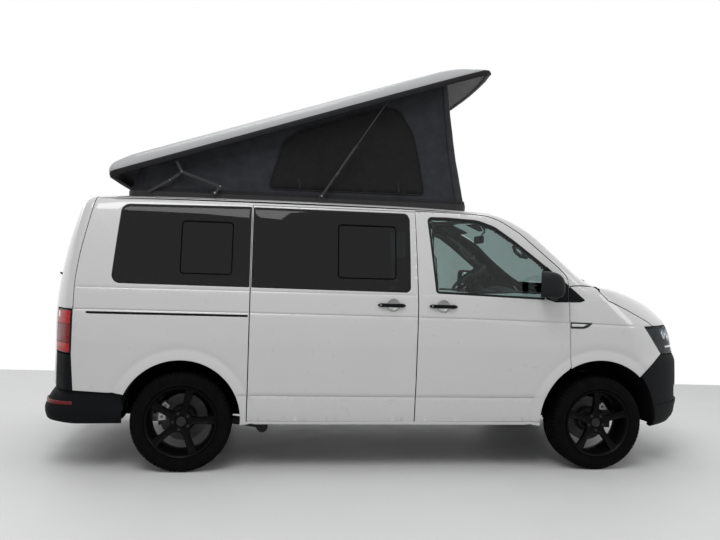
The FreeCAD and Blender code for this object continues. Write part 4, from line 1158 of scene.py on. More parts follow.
def soft_box(size_xyz, radius, center=(0, 0, 0), steps=4, bulge=0.0):
    """A box with round edges and a little crown on each side."""
    half = np.array(size_xyz, float) / 2
    core = np.maximum(half - radius, 0.01)
    verts, faces, index = [], [], {}

    def vertex(p):
        key = tuple(np.round(p, 4))
        if key not in index:
            index[key] = len(verts)
            verts.append(p)
        return index[key]

    grid = np.linspace(-1, 1, 2 * steps + 3)
    for axis in range(3):
        for sign in (-1, 1):
            ids = []
            for a in grid:
                row = []
                for b in grid:
                    cube = np.zeros(3)
                    cube[axis] = sign
                    cube[(axis + 1) % 3], cube[(axis + 2) % 3] = a, b
                    outer = cube * half
                    inner = np.clip(outer, -core, core)
                    away = outer - inner
                    length = np.linalg.norm(away)
                    point = inner + (away / length * radius if length > 1e-6 else 0)
                    share = np.prod([1 - (cube[(axis + k) % 3])**2 for k in (1, 2)])
                    point[axis] += sign * bulge * share
                    row.append(vertex(point + np.array(center, float)))
                ids.append(row)
            for i in range(len(grid) - 1):
                for k in range(len(grid) - 1):
                    quad = (ids[i][k], ids[i + 1][k], ids[i + 1][k + 1], ids[i][k + 1])
                    quad = quad if sign > 0 else quad[::-1]
                    if len(set(quad)) > 2:
                        faces.append(tuple(dict.fromkeys(quad)))
    return np.array(verts), faces


def tube(points, radius, sides_count=12):
    """A round tube along a polyline."""
    points = np.asarray(points, float)
    radii = radius if hasattr(radius, "__len__") else [radius] * len(points)
    rings = []
    up = np.array([0.0, 0.0, 1.0])
    for i, point in enumerate(points):
        ahead = points[min(i + 1, len(points) - 1)] - points[max(i - 1, 0)]
        ahead = ahead / np.linalg.norm(ahead)
        side = np.cross(ahead, up if abs(ahead[2]) < 0.9 else np.array([0.0, 1.0, 0.0]))
        side = side / np.linalg.norm(side)
        other = np.cross(side, ahead)
        rings.append([point + radii[i] * (side * math.cos(t) + other * math.sin(t))
                      for t in even_turn(sides_count)])
    return loft(rings)


FRONT_AXLE, REAR_AXLE, AXLE_Z, TRACK = 1544, -1456, 343, 814
CORNERS = [(end, axle, side, f"{end}_{'left' if side == LEFT else 'right'}")
           for end, axle in (("front", FRONT_AXLE), ("rear", REAR_AXLE)) for side in (LEFT, RIGHT)]
TREAD_PITCHES = 70
SPOKE_TURNS = {"front": 90, "rear": 76}


def corner_piece(corner, label, verts, faces, materials, body, slot, replaces=(), face_slots=None):
    """Sets a piece that was drawn about a left wheel's centre at one corner of the van."""
    _, axle, side, name = corner
    place = moved(verts * [1, side, 1], (axle, side * TRACK, AXLE_Z))
    shape = faces if side == LEFT else [f[::-1] for f in faces]
    return mesh_object(f"{name}_{label}", place, shape, materials, body, slot, replaces,
                       face_slots)


def tyre_profile():
    """The tyre's closed (radius, y) section: its right half and the mirror image of that."""
    half = [(320, 0), (343, 0), (343, 8.5)]
    groove = [(336, 10), (336, 17), (343, 18.5)]
    half += groove + [(343, 46), (336, 47.5), (336, 55), (342.5, 56.5), (342, 84), (340.5, 92)]
    half += [(337, 99), (331, 106), (321, 112), (318, 112.6), (317, 113.6), (300, 118),
             (285, 119.5)]
    half += [(270, 118.5), (262, 116.5), (261, 118), (254, 117.6), (252, 114), (244, 110)]
    half += [(238, 107), (236.5, 100), (232, 98), (229, 90), (236, 84), (316, 84)]
    right = half[1:]
    left = [(r, -y) for r, y in right[::-1]]
    return left + right[1:]


def tyres():
    profile = tyre_profile()
    fractions, cuts = (0.0, 0.04, 0.17, 0.21, 0.6), (0, 1, 1, 0, 0)
    angles = [2 * math.pi * (pitch + f) / TREAD_PITCHES
              for pitch in range(TREAD_PITCHES) for f in fractions]

    def depth(a, p):
        radius, y = profile[p]
        shoulder = 56 < abs(y) < 110 and radius > 325
        rib = 18 < abs(y) < 47 and radius > 341
        if cuts[a % len(fractions)] and shoulder:
            return 6.0
        if cuts[a % len(fractions)] and rib:
            return 3.0 if 25 < abs(y) < 60 else 0
        return 0

    verts, faces = revolved(profile, angles, depth)
    faces = oriented(verts, faces)
    for corner in CORNERS:
        name = corner[3]
        corner_piece(corner, "tyre_tread", verts, faces, "tyre_rubber", f"{name}_wheel",
                     "tyre_rubber", [f"{name}_tyre"])


def rim_parts():
    """Barrel, spokes, hub, cap and bolts of one wheel. Its street side is +Y."""
    barrel = [(229, -108), (236, -110), (236, -117.5), (231, -117.5), (222, -104), (214, -80),
              (206, -30),
              (204, 20), (209, 60), (217, 86), (223, 100), (231, 113), (238, 118), (241, 117.5),
              (240.5, 112), (231, 107), (226, 96), (213, 60), (208, 20), (210, -30), (219, -80),
              (226, -100)]
    parts = [part(revolved(barrel, even_turn(120)))]
    for number in range(5):
        rings = []
        for radius, wide, front, deep in ((34, 46, 76, 40), (62, 33, 80, 44), (95, 24, 84, 42),
                                          (135, 22.5, 89, 38), (175, 25, 95, 34),
                                          (205, 29, 101, 30),
                                          (219, 32, 105, 30), (227, 35, 107, 24)):
            back = front - deep
            groove = min(wide * 0.42, 10)
            ring = [(wide, back + 8), (wide, front - 7), (wide - 4, front - 1), (wide - 8, front),
                    (groove, front - 5.5), (-groove, front - 5.5), (-wide + 8, front),
                    (-wide + 4, front - 1), (-wide, front - 7), (-wide, back + 8),
                    (-wide * 0.55, back),
                    (wide * 0.55, back)]
            rings.append([(radius, y, w) for w, y in ring])
        parts.append(part(loft(rings), turn=turn_y(-72 * number)))
    hub = [(0, 40), (76, 40), (80, 46), (80, 66), (74, 76), (60, 79), (47, 77), (43, 71), (36, 71),
           (0, 71)]
    cap = [(0, 69), (35, 69), (36, 73), (33, 77.5), (29, 78.5), (27, 76.5), (0, 77.5)]
    parts += [part(lathe(hub, 72)), part(lathe(cap, 48), 1)]
    for number in range(5):
        angle = math.radians(36 + 72 * number)
        spot = (57 * math.cos(angle), 0, 57 * math.sin(angle))
        seat = [(0, 70), (13, 70), (13.5, 79.6), (11.5, 80.4), (10.5, 76), (0, 76)]
        nut = [(0, 74), (9, 74), (9, 84), (7, 86.5), (0, 86.5)]
        parts += [part(lathe(seat, 20), 1, spot), part(lathe(nut, 6), 2, spot)]
    valve = tube([(212, 66, 12), (206, 76, 12), (200, 84, 12)], [3.5, 3, 3], 8)
    parts.append(part(valve, 1, turn=turn_y(-36)))
    return joined(parts)


def disc_parts():
    """The vented brake disc and its bell behind the spokes."""
    ring = [(96, -88), (165, -88), (165, -96), (150, -97), (150, -105), (165, -106), (165, -114),
            (96, -114), (96, -106), (108, -105), (108, -97), (96, -96)]
    bell = [(0, -100), (84, -100), (97, -112), (98, -90), (88, -84), (84, -48), (78, -42),
            (62, -40),
            (60, 40), (0, 40)]
    parts = [part(revolved(ring, even_turn(96))), part(lathe(bell, 64), 1)]
    vanes = 24
    for number in range(vanes):
        parts.append(part(soft_box((36, 8, 4), 1.4, (130, -101, 0), 1), 1,
                          turn=turn_y(-360 / vanes * number)))
    return joined(parts)


def rims():
    rim_verts, rim_faces, rim_slots = rim_parts()
    disc_verts, disc_faces, disc_slots = disc_parts()
    for corner in CORNERS:
        end, name = corner[0], corner[3]
        turned_rim = moved(rim_verts, turn=turn_y(-SPOKE_TURNS[end]))
        for obj in (
                corner_piece(corner, "alloy_rim", turned_rim, rim_faces,
                             ["black_alloy", "gloss_black", "black_steel"], f"{name}_wheel",
                             "black_alloy", [f"{name}_rim"], rim_slots),
                corner_piece(corner, "brake_disc", disc_verts, disc_faces,
                             ["disc_steel", "rough_iron"],
                             f"{name}_wheel", "black_alloy", [], disc_slots)):
            sharpen(obj, 38)


def sharpen(obj, degrees):
    """Smooth shading with hard edges above that angle."""
    mesh = obj.data
    mesh.shade_smooth()
    mesh.set_sharp_from_angle(angle=math.radians(degrees))


def caliper():
    """A cast brake caliper that straddles the disc's rear edge, about the wheel's centre."""
    inner_radius, outer_radius = 118, 186
    sections = []
    for k in range(13):
        angle = math.radians(-24 + 48 * k / 12)
        swell = 1 - 0.25 * abs(k - 6) / 6
        ring = []
        for r, y in ((inner_radius, -84), (inner_radius + 6, -78 + 8 * swell),
                     (outer_radius - 14, -74 + 8 * swell), (outer_radius, -84),
                     (outer_radius + 2, -100),
                     (outer_radius, -118), (outer_radius - 10, -124), (inner_radius + 10, -130),
                     (inner_radius, -122), (inner_radius + 2, -116), (172, -116), (172, -86)):
            ring.append((r * math.cos(angle), y, r * math.sin(angle)))
        sections.append(ring)
    parts = [part(loft(sections))]
    bolt = lathe([(0, -72), (11, -72), (11, -66), (8, -63), (0, -63)], 6)
    for angle in (math.radians(-15), math.radians(15)):
        parts.append(part(bolt, 1, (150 * math.cos(angle), 0, 150 * math.sin(angle))))
    return joined(parts)


def calipers():
    verts, faces, slots = caliper()
    for corner in CORNERS:
        end, _, _, name = corner
        body = f"{name[6:]}_steered_knuckle" if end == "front" else "van_body"
        turned = moved(verts, turn=turn_y(-22 if end == "front" else 196))
        obj = corner_piece(corner, "caliper", turned, faces, ["cast_alloy", "bolt_steel"], body,
                           "cast_metal", [], slots)
        sharpen(obj, 35)


def arch_liners():
    """Black plastic liners in the wheel openings, with an inner wall."""
    for end, arch, wall_y in (("front", FRONT_ARCH, 497), ("rear", REAR_ARCH, 557)):
        radius = arch[2] + 5
        out_y = 912 if end == "rear" else 896
        rings = []
        for a in (math.radians(degrees) for degrees in range(-4, 185, 4)):
            wave = 1.5 * math.cos(a * 12)
            c, s = math.cos(a), math.sin(a)
            ring = [(radius - 4 + wave, out_y), (radius - 4 + wave, 760), (radius - 9 + wave, 750),
                    (radius - 9 + wave, 640), (radius - 4 + wave, 630),
                    (radius - 4 + wave, wall_y + 24),
                    (radius - 24, wall_y + 3), (radius - 330, wall_y), (radius - 330, wall_y - 4),
                    (radius - 20, wall_y - 2), (radius, wall_y + 22), (radius + wave, out_y)]
            rings.append([(arch[0] + r * c, -y, arch[1] + r * s) for r, y in ring])
        for name, _, flip in SIDES:
            solid(f"{end}_{name}_liner", loft(rings), "rough_plastic", "van_body", "undercoat",
                  mirror=flip)


tyres()
rims()
calipers()
arch_liners()


# ----------------------------------------------------------------------------------------
# Pop-up roof: worked out shut and level, then moved to its open rest position
# ----------------------------------------------------------------------------------------
TILT = 18.4
PIVOT_SHUT, PIVOT_OPEN = np.array([-1637.3, 0, 1909.8]), np.array([-1560.0, 0, 2153.0])
SHELL_BASE, SHELL_HALF = 1907.8, 803.0
CANVAS_Z = 1934.0
crown_rear = smooth_curve((-2112, 44), (-2085, 76), (-2038, 99), (-1960, 118), (-1850, 150),
                          (-1600, 230),
                          (1000, 900))
crown_nose = smooth_curve((-2200, 900), (150, 230), (341, 150), (498, 108), (620, 76), (709, 50),
                          (790, 26), (830, 12))


def to_open(points):
    """Moves points of the shut roof to its open position."""
    turned = (np.asarray(points, float) - PIVOT_SHUT) @ turn_y(-TILT).T
    return turned + PIVOT_OPEN


def smooth_min(a, b, radius):
    return -smooth_max(-a, -b, radius)


def shell_top(x, y):
    """Height above the shell's base at a place on its plan."""
    crown = 114 + 30 * (1 - (y / SHELL_HALF)**2)
    return smooth_min(smooth_min(crown, crown_nose(x), 30), crown_rear(x), 24)


def shell_plan():
    """Dense plan outline of the shell, from the middle of its rear edge."""
    side = [(-2050, -797), (-1900, -803), (-400, -803), (300, -798), (560, -786), (690, -770)]
    front = [(762, -700), (796, -480), (814, -220), (820, 0)]
    corner = arc(706, -706, 60, -80, -8)
    rear = arc(-2042, -735, 62, 190, 262)
    half = [(-2111, 0), (-2109, -400), (-2104, -650)] + rear + side + corner + front
    other = [(x, -y) for x, y in half[1:-1]][::-1]
    return dense(half + other, 22)


def shell_rings(plan, profile):
    """One ring of points for each (inset, height) step; a height may depend on the place."""
    normal = loop_normals(plan)
    rings = []
    for inset, height in profile:
        spot = plan - normal * inset
        top = shell_top(spot[:, 0], spot[:, 1])
        rings.append(np.column_stack([spot, SHELL_BASE + height(top)]))
    return rings


def roof_shell():
    plan = shell_plan()
    count = len(plan)
    outer_steps = [
        (30, lambda t: 6 + 0 * t), (6, lambda t: 0 * t), (1.5, lambda t: 2 + 0 * t),
        (0, lambda t: np.minimum(7, t * 0.3)), (0, lambda t: np.minimum(30, t * 0.62)),
        (2, lambda t: np.minimum(36, t * 0.72)), (5, lambda t: np.minimum(38, t * 0.76)),
        (5, lambda t: np.minimum(41, t * 0.80)), (3.2, lambda t: np.minimum(44, t * 0.84)),
        (4.5, lambda t: np.maximum(np.minimum(60, t * 0.86), t * 0.62)),
        (7.5, lambda t: np.maximum(t - 20, t * 0.87)), (12, lambda t: np.maximum(t - 9, t * 0.93)),
        (21, lambda t: np.maximum(t - 3, t * 0.97)), (36, lambda t: t - 0.6), (58, lambda t: t),
    ]
    rings = shell_rings(plan, outer_steps)
    verts = list(np.concatenate(rings))
    faces = ring_faces(len(rings), count, closed=False)
    slots = [1 if i < 7 else 0 for i in range(len(rings) - 1) for _ in range(count)]
    cap_loop = plan - loop_normals(plan) * 58
    flat, cap_faces = triangulate([cap_loop], 55)
    first = len(verts) - count
    crown = shell_top(flat[count:, 0], flat[count:, 1])
    verts += list(np.column_stack([flat[count:], SHELL_BASE + crown]))
    faces += [tuple(first + i for i in f) for f in cap_faces]
    slots += [0] * len(cap_faces)
    inner_first = len(verts)
    inner_steps = [(30, lambda t: np.minimum(14, t * 0.4)),
                   (31, lambda t: np.maximum(t - 20, t * 0.5)),
                   (38, lambda t: np.maximum(t - 15, t * 0.5)),
                   (58, lambda t: np.maximum(t - 14, t * 0.5))]
    inner = shell_rings(plan, inner_steps)
    verts += list(np.concatenate(inner))
    inner_cap = len(verts) - count
    ceiling = SHELL_BASE + np.maximum(crown - 14, crown * 0.5)
    verts += list(np.column_stack([flat[count:], ceiling]))
    inside_out = [tuple(inner_first + i for i in f[::-1])
                  for f in ring_faces(len(inner), count, closed=False)]
    faces += inside_out
    slots += [2] * len(inside_out)
    for k in range(count):
        n = (k + 1) % count
        faces.append((n, k, inner_first + k, inner_first + n))
    faces += [tuple(inner_cap + i for i in f[::-1]) for f in cap_faces]
    slots += [1] * count + [2] * len(cap_faces)
    verts = to_open(np.array(verts))
    faces = oriented(verts, faces)
    obj = mesh_object("roof_shell_moulding", verts, faces,
                      ["shell_white", "seal_rubber", "lining_grey"],
                      "pop_up_roof", "roof_shell_white", ["roof_shell"], slots)
    sharpen(obj, 40)


CANVAS_COUNT = 420
CANVAS_MIDDLE = -600.0


def spaced(path, count, closed=False):
    """Evenly spaced points along a path."""
    along = np.concatenate([[0], np.cumsum(np.linalg.norm(np.diff(path, axis=0), axis=1))])
    steps = np.linspace(0, along[-1], count, endpoint=not closed)
    return np.column_stack([np.interp(steps, along, path[:, k]) for k in (0, 1)])


def canvas_loop(rear, front, half, corner):
    """A rounded rectangle in plan, as evenly spaced points that start at the rear's middle."""
    shape = rounded([(rear, 0), (rear, -half, corner), (front, -half, corner),
                     (front, half, corner),
                     (rear, half, corner)], 6)
    return spaced(np.concatenate([shape, shape[:1]]), CANVAS_COUNT, closed=True)


def wall_inward(places):
    """The way into the tent at places on its wall: across it at the sides, along it at the ends."""
    side_wall = np.abs(places[:, 1]) > 640
    ahead = -np.sign(places[:, 0] - CANVAS_MIDDLE) * ~side_wall
    return np.column_stack([ahead, -np.sign(places[:, 1]) * side_wall])


def canvas_surface(low, high, tall):
    """Points of the tent wall for bottom and top places and shares of the height."""
    rows = []
    out = (low + high)[:, :2] * 0.5
    height = high[:, 2] - low[:, 2]
    inward = wall_inward(out)
    for t in tall:
        base = low * (1 - t) + high * t
        sag = height * 0.045 * math.sin(math.pi * t)**1.2
        sag = np.where(out[:, 0] > 380, sag * 1.2, sag)
        folds = []
        for (x, y, z) in base:
            wide = noise.noise(Vector((x * 0.0022 + z * 0.0030, y * 0.003,
                                       x * 0.0012 - z * 0.0040)))
            fine = noise.noise(Vector((x * 0.006 + z * 0.009, y * 0.006 + 7,
                                       x * 0.003 - z * 0.012)))
            tiny = noise.noise(Vector((x * 0.02 + z * 0.014, y * 0.02 + 3, z * 0.035 - x * 0.008)))
            folds.append(9.0 * wide + 4.5 * fine + 1.6 * tiny)
        fade = np.clip(np.minimum(t * 5, (1 - t) * 5), 0, 1)
        slack = 1 + 1.2 * np.clip((-1000 - base[:, 0]) / 700, 0, 1)
        move = sag + np.array(folds) * fade * slack
        move = np.clip(move, -5, 60)
        spot = base.copy()
        spot[:, :2] += inward * move[:, None]
        rows.append(spot)
    return rows


def tent():
    low = canvas_loop(-1885, 562, 711, 95)
    high = canvas_loop(-1800, 428, 690, 95)
    low3 = np.column_stack([low, np.full(CANVAS_COUNT, CANVAS_Z)])
    shut_x = (high[:, 0] - PIVOT_OPEN[0]) / math.cos(math.radians(TILT)) + PIVOT_SHUT[0]
    rise = np.minimum(66, shell_top(shut_x, high[:, 1]) - 18)
    high3 = to_open(np.column_stack([shut_x, high[:, 1], SHELL_BASE + rise]))
    tall = np.concatenate([[0, 0.012, 0.03], np.linspace(0.06, 0.94, 40), [0.975, 1]])
    rows = canvas_surface(low3, high3, tall)
    thick = 2.0
    inner_rows = [row + np.column_stack([wall_inward(row), 0 * row[:, 0]]) * thick for row in rows]
    grid = rows + inner_rows[::-1]
    wall = np.concatenate(grid), ring_faces(len(grid), CANVAS_COUNT)
    canvas = solid("tent_wall", wall, "canvas", "van_body", "canvas", ["tent_canvas"])
    return canvas, np.array(rows)


class Drape:
    """Looks up the tent wall's surface on one side by (x, z)."""

    def __init__(self, grid):
        self.grid = grid

    def spot(self, x, z, out=0.0):
        near = self.grid[:, self.grid[0, :, 1] < -640]
        distance = (near[:, :, 0] - x)**2 + (near[:, :, 2] - z)**2
        order = np.argsort(distance, axis=None)[:6]
        weight = 1 / (np.take(distance.ravel(), order) + 4.0)
        y = float(np.sum(np.take(near[:, :, 1].ravel(), order) * weight) / np.sum(weight))
        return np.array([x, y - out, z])


WINDOW = [(-915, 1984, 30), (236, 1988, 26), (200, 2240, 200), (150, 2440, 220), (40, 2610, 110),
          (-70, 2632, 90), (-299, 2560, 600), (-700, 2420, 120), (-815, 2330, 120)]


def tent_window(drape, name, flip):
    """A net window with a piped edge, sewn on the side wall."""
    loop = anticlockwise(rounded(WINDOW, 16))
    flat, faces = triangulate([loop], 30)
    front = np.array([drape.spot(x, z, 2.2) for x, z in flat])
    back = np.array([drape.spot(x, z, 0.6) for x, z in flat])
    count, total = len(loop), len(flat)
    all_faces = [tuple(f) for f in faces] + [tuple(total + i for i in f[::-1]) for f in faces]
    all_faces += [(k, total + k, total + (k + 1) % count, (k + 1) % count) for k in range(count)]
    sheet = compact(np.concatenate([front, back]), all_faces)
    net = solid(f"{name}_tent_window", sheet, "net", "van_body", "canvas", mirror=flip)
    line = np.array([drape.spot(x, z, 3.0) for x, z in loop])
    piping = solid(f"{name}_window_piping", ring_tube(line, 4.5, 8), "webbing", "van_body",
                   "canvas",
                   mirror=flip)
    pieces = [net, piping]
    for number, x in enumerate((-690, 40)):
        strip = [drape.spot(x + 4 * math.sin(k), 1990 + 16 * k, 4.2) for k in range(6)]
        pieces.append(solid(f"{name}_window_tie_{number + 1}", ribbon(strip, 9, 1.6), "webbing",
                            "van_body", "canvas", mirror=flip))
    return pieces


def ring_tube(points, radius, sides_count):
    """A closed round tube along a loop of points."""
    points = np.asarray(points, float)
    rings = []
    count = len(points)
    for i, point in enumerate(points):
        ahead = points[(i + 1) % count] - points[i - 1]
        ahead = ahead / np.linalg.norm(ahead)
        side = np.array([0.0, 1.0, 0.0])
        side = side - ahead * (side @ ahead)
        side = side / np.linalg.norm(side)
        other = np.cross(side, ahead)
        rings.append([point + radius * (side * math.cos(t) + other * math.sin(t))
                      for t in even_turn(sides_count)])
    return np.concatenate(rings), ring_faces(count, sides_count)


def ribbon(points, half_wide, thick):
    """A flat strap along points, lying in the side wall."""
    rings = []
    for point in np.asarray(points, float):
        rings.append([point + np.array(offset) for offset in
                      ((-half_wide, 0, 0), (half_wide, 0, 0), (half_wide, -thick, 0),
                       (-half_wide, -thick, 0))])
    return loft(rings)


def tent_seams(grid):
    """Raised vertical seams at the tent's corners and a hem at its foot."""
    pieces = []
    foot = grid[0]
    places = ((470, -711), (470, 711), (-1800, -711), (-1800, 711), (562, -560), (562, 560))
    for number, (x, y) in enumerate(places):
        k = int(np.argmin((foot[:, 0] - x)**2 + (foot[:, 1] - y)**2))
        line = grid[:, k]
        away = np.array([np.sign(line[0, 0] - CANVAS_MIDDLE) * (0.7 if abs(y) < 700 else 0.3),
                         np.sign(line[0, 1]) * (0.3 if abs(y) < 700 else 0.9), 0])
        seam = tube(line + away * 1.5, 3.6, 8)
        pieces.append(mesh_object(f"tent_corner_seam_{number + 1}", *seam, "webbing", "van_body",
                                  "canvas"))
    hem_rings = []
    normal = loop_normals(foot[:, :2])
    for reach, z in ((1.0, 1907), (5.5, 1909), (6.5, 1926), (5.0, 1940), (2.5, 1956), (0.5, 1958),
                     (-3.0, 1950), (-4.0, 1910)):
        ring = foot.copy()
        ring[:, :2] = foot[:, :2] + normal * reach
        ring[:, 2] = z
        hem_rings.append(ring)
    hem = np.concatenate(hem_rings), ring_faces(len(hem_rings), CANVAS_COUNT)
    pieces.append(solid("tent_foot_hem", hem, "webbing", "van_body", "canvas"))
    return pieces


def pop_up_roof():
    roof_shell()
    canvas, grid = tent()
    drape = Drape(grid)
    extras = [piece for name, _, flip in SIDES for piece in tent_window(drape, name, flip)]
    extras += tent_seams(grid)
    for piece in [canvas] + extras:
        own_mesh(piece)


pop_up_roof()


# ----------------------------------------------------------------------------------------
# Bumpers
# ----------------------------------------------------------------------------------------
def nose_uv(points):
    """Side-view (x, z) points of the right side in the nose view."""
    return [tuple(p) for p in NOSE.flatten(side_points(points))]


def mirrored_loop(half):
    """Adds the other side to a right-hand half outline that runs from low centre to top centre."""
    return half + [(-u, v) for u, v in half[::-1]]


def bar_across(left, right, v, tall):
    """A thin strip outline along the view's u."""
    us = np.linspace(left, right, 24)
    return dense([(u, v - tall / 2) for u in us] + [(u, v + tall / 2) for u in us[::-1]])


def front_bumper():
    centre_x, centre_z, radius = FRONT_ARCH
    edge = nose_uv(arc(centre_x, centre_z, radius + 13, -6, 47))
    seam = nose_uv([(1868, 703), (1962, 769), (2088, 845)])
    half = [(0, 318), (-300, 316), (-560, 312)] + nose_uv([(1992, 309)]) + edge + seam
    half += [(-556, 832), (-470, 824), (-458, 840), (-455, 918), (-300, 921), (0, 921)]
    outline = dense(mirrored_loop(half))
    vent = rounded([(-590, 490, 12), (-592, 590, 12), (-446, 594, 12), (-440, 486, 12)])
    other_vent = (vent * [-1, 1])[::-1]
    centre = rounded([(-400, 484, 24), (-408, 596, 24), (408, 596, 24), (400, 484, 24)])
    low = rounded([(-380, 352, 20), (-395, 418, 20), (395, 418, 20), (380, 352, 20)])
    panel("front_bumper_cover", NOSE, outline, "van_body", ["dark_plastic", "rough_plastic"],
          "dark_plastic", ["front_bumper"], holes=[vent, other_vent, centre, low], thick=34,
          pitch=22)
    lip = [(0, 322), (-300, 320), (-560, 318)] + nose_uv([(2004, 316), (2009, 400), (1996, 466)])
    lip += [(-560, 476), (-300, 478), (0, 478)]
    lip_shape = dense(mirrored_loop(lip))
    panel("front_bumper_lip", NOSE, lip_shape, "van_body", ["dark_plastic", "rough_plastic"],
          "dark_plastic", holes=[grown(low, 5)], thick=12, sink=-7, pitch=24)
    for name, hole in (("vent", grown(centre, 16)), ("right_vent", grown(vent, 12)),
                       ("left_vent", grown(other_vent, 12)), ("low_vent", grown(low, 14))):
        panel(f"front_{name}_backing", NOSE, hole, "van_body", ["rough_plastic"] * 2,
              "dark_plastic",
              thick=5, sink=48, pitch=26)
    for number, v in enumerate((512, 540, 568)):
        for name, left, right in (("centre", -402, 402), ("right", -589, -446),
                                  ("left", 446, 589)):
            panel(f"{name}_vent_bar_{number + 1}", NOSE, bar_across(left, right, v, 11),
                  "van_body",
                  ["dark_plastic"] * 2, "dark_plastic", thick=24, sink=6, pitch=24, edge=2)
    for number, u in enumerate((-300, -200, -100, 0, 100, 200, 300)):
        post = rounded([(u - 4, 352), (u - 4, 418), (u + 4, 418), (u + 4, 352)])
        panel(f"low_vent_post_{number + 1}", NOSE, post, "van_body", ["dark_plastic"] * 2,
              "dark_plastic", thick=16, sink=10, pitch=20, edge=1.5)
    plate = rounded([(-222, 640, 8), (-222, 748, 8), (222, 748, 8), (222, 640, 8)])
    panel("front_plate_holder", NOSE, grown(plate, 8), "van_body", ["rough_plastic"] * 2,
          "dark_plastic", thick=6, sink=-4, pitch=26)
    panel("front_blank_plate", NOSE, plate, "van_body", ["coach_light"] * 2, "dark_plastic",
          thick=3,
          sink=-7, pitch=26, edge=1.2)


def grille():
    frame_loop = rounded([(-484, 1052, 10), (-462, 927, 14), (462, 927, 14), (484, 1052, 10)])
    opening = grown(frame_loop, -13)
    panel("grille_frame", NOSE, frame_loop, "van_body", ["gloss_black", "rough_plastic"],
          "gloss_black", ["grille"], holes=[opening], thick=34, pitch=22)
    panel("grille_backing", NOSE, grown(frame_loop, -4), "van_body", ["rough_plastic"] * 2,
          "gloss_black", thick=5, sink=36, pitch=30)
    for number, v in enumerate((951, 976, 1001, 1027)):
        wide = 456 + (v - 940) * 0.15
        panel(f"grille_bar_{number + 1}", NOSE, bar_across(-wide, wide, v, 9), "van_body",
              ["gloss_black"] * 2, "gloss_black", thick=20, sink=4, pitch=24, edge=2)
    for number in range(12):
        u = -418 + number * 76
        post = dense([(u - 2.5, 938), (u - 2.5, 1042), (u + 2.5, 1042), (u + 2.5, 938)])
        panel(f"grille_post_{number + 1}", NOSE, post, "van_body", ["rough_plastic"] * 2,
              "gloss_black",
              thick=12, sink=16, pitch=20, edge=1)


REAR_BUMPER = [(-1852, -916), (-2000, -925), (-2120, -930), (-2190, -930), (-2255, -918),
               (-2310, -890), (-2350, -850), (-2382, -780), (-2402, -690), (-2418, -590),
               (-2432, -450), (-2443, -300), (-2449, -150), (-2451, 0)]


def rear_bumper():
    other = [(x, -y) for x, y in REAR_BUMPER[:-1]][::-1]
    path = spaced(np.array(REAR_BUMPER + other, float), 150)
    for _ in range(3):
        path[1:-1] = 0.25 * path[:-2] + 0.5 * path[1:-1] + 0.25 * path[2:]
    ahead = np.gradient(path, axis=0)
    ahead /= np.linalg.norm(ahead, axis=1)[:, None]
    out = np.column_stack([ahead[:, 1], -ahead[:, 0]])
    if out[75] @ np.array([-1, 0]) < 0:
        out = -out
    side = [(-12, 557), (-3, 556), (0, 549), (2, 520), (2, 484), (0, 470), (0, 421), (-3, 385),
            (-10, 345), (-18, 333), (-30, 330), (-34, 336), (-26, 420), (-24, 540)]
    back = [(-112, 556), (-82, 556), (-66, 550), (-40, 512), (-20, 478), (-14, 468), (0, 424),
            (-2, 390),
            (-12, 356), (-24, 345), (-40, 342), (-46, 350), (-40, 420), (-112, 540)]
    rings = []
    for spot, away in zip(path, out):
        share = float(ramp(-spot[0], 2130, 2330))
        ring = []
        for (o1, z1), (o2, z2) in zip(side, back):
            o, z = o1 + (o2 - o1) * share, z1 + (z2 - z1) * share
            ring.append((spot[0] + away[0] * o, spot[1] + away[1] * o, z))
        rings.append(ring)
    sharpen(solid("rear_bumper_cover", loft(rings), "dark_plastic", "van_body", "dark_plastic",
                  ["rear_bumper"]), 40)
    for name, side, _ in SIDES:
        for label, first, last, low, high, proud, material in (
                ("reflector", 17, 38, 460, 484, 3.0, "reflector_red"),
                ("parking_sensor", 46, 48, 440, 455, 2.0, "gloss_black")):
            rings = []
            for k in range(first, last):
                spot, away = path[k], out[k]
                share = float(ramp(-spot[0], 2130, 2330))
                base = -14 * share + 1
                section = ((proud - 1, low), (proud, (low + high) / 2), (proud - 3 * share, high),
                           (-8, high), (-8, low))
                rings.append([(spot[0] + away[0] * (base + o),
                               (spot[1] + away[1] * (base + o)) * -side,
                               z) for o, z in section])
            solid(f"{name}_rear_{label}", loft(rings), material, "van_body", "dark_plastic")
    guard = [(-2300, -640), (-2330, -560), (-2345, 0), (-2330, 560), (-2300, 640)]
    rings = [[(x, y, z) for x, z in ((px, 336), (px, 344), (px + 330, 352), (px + 330, 344))]
             for px, y in guard]
    solid("rear_bumper_tray", loft(rings), "rough_plastic", "van_body", "dark_plastic")


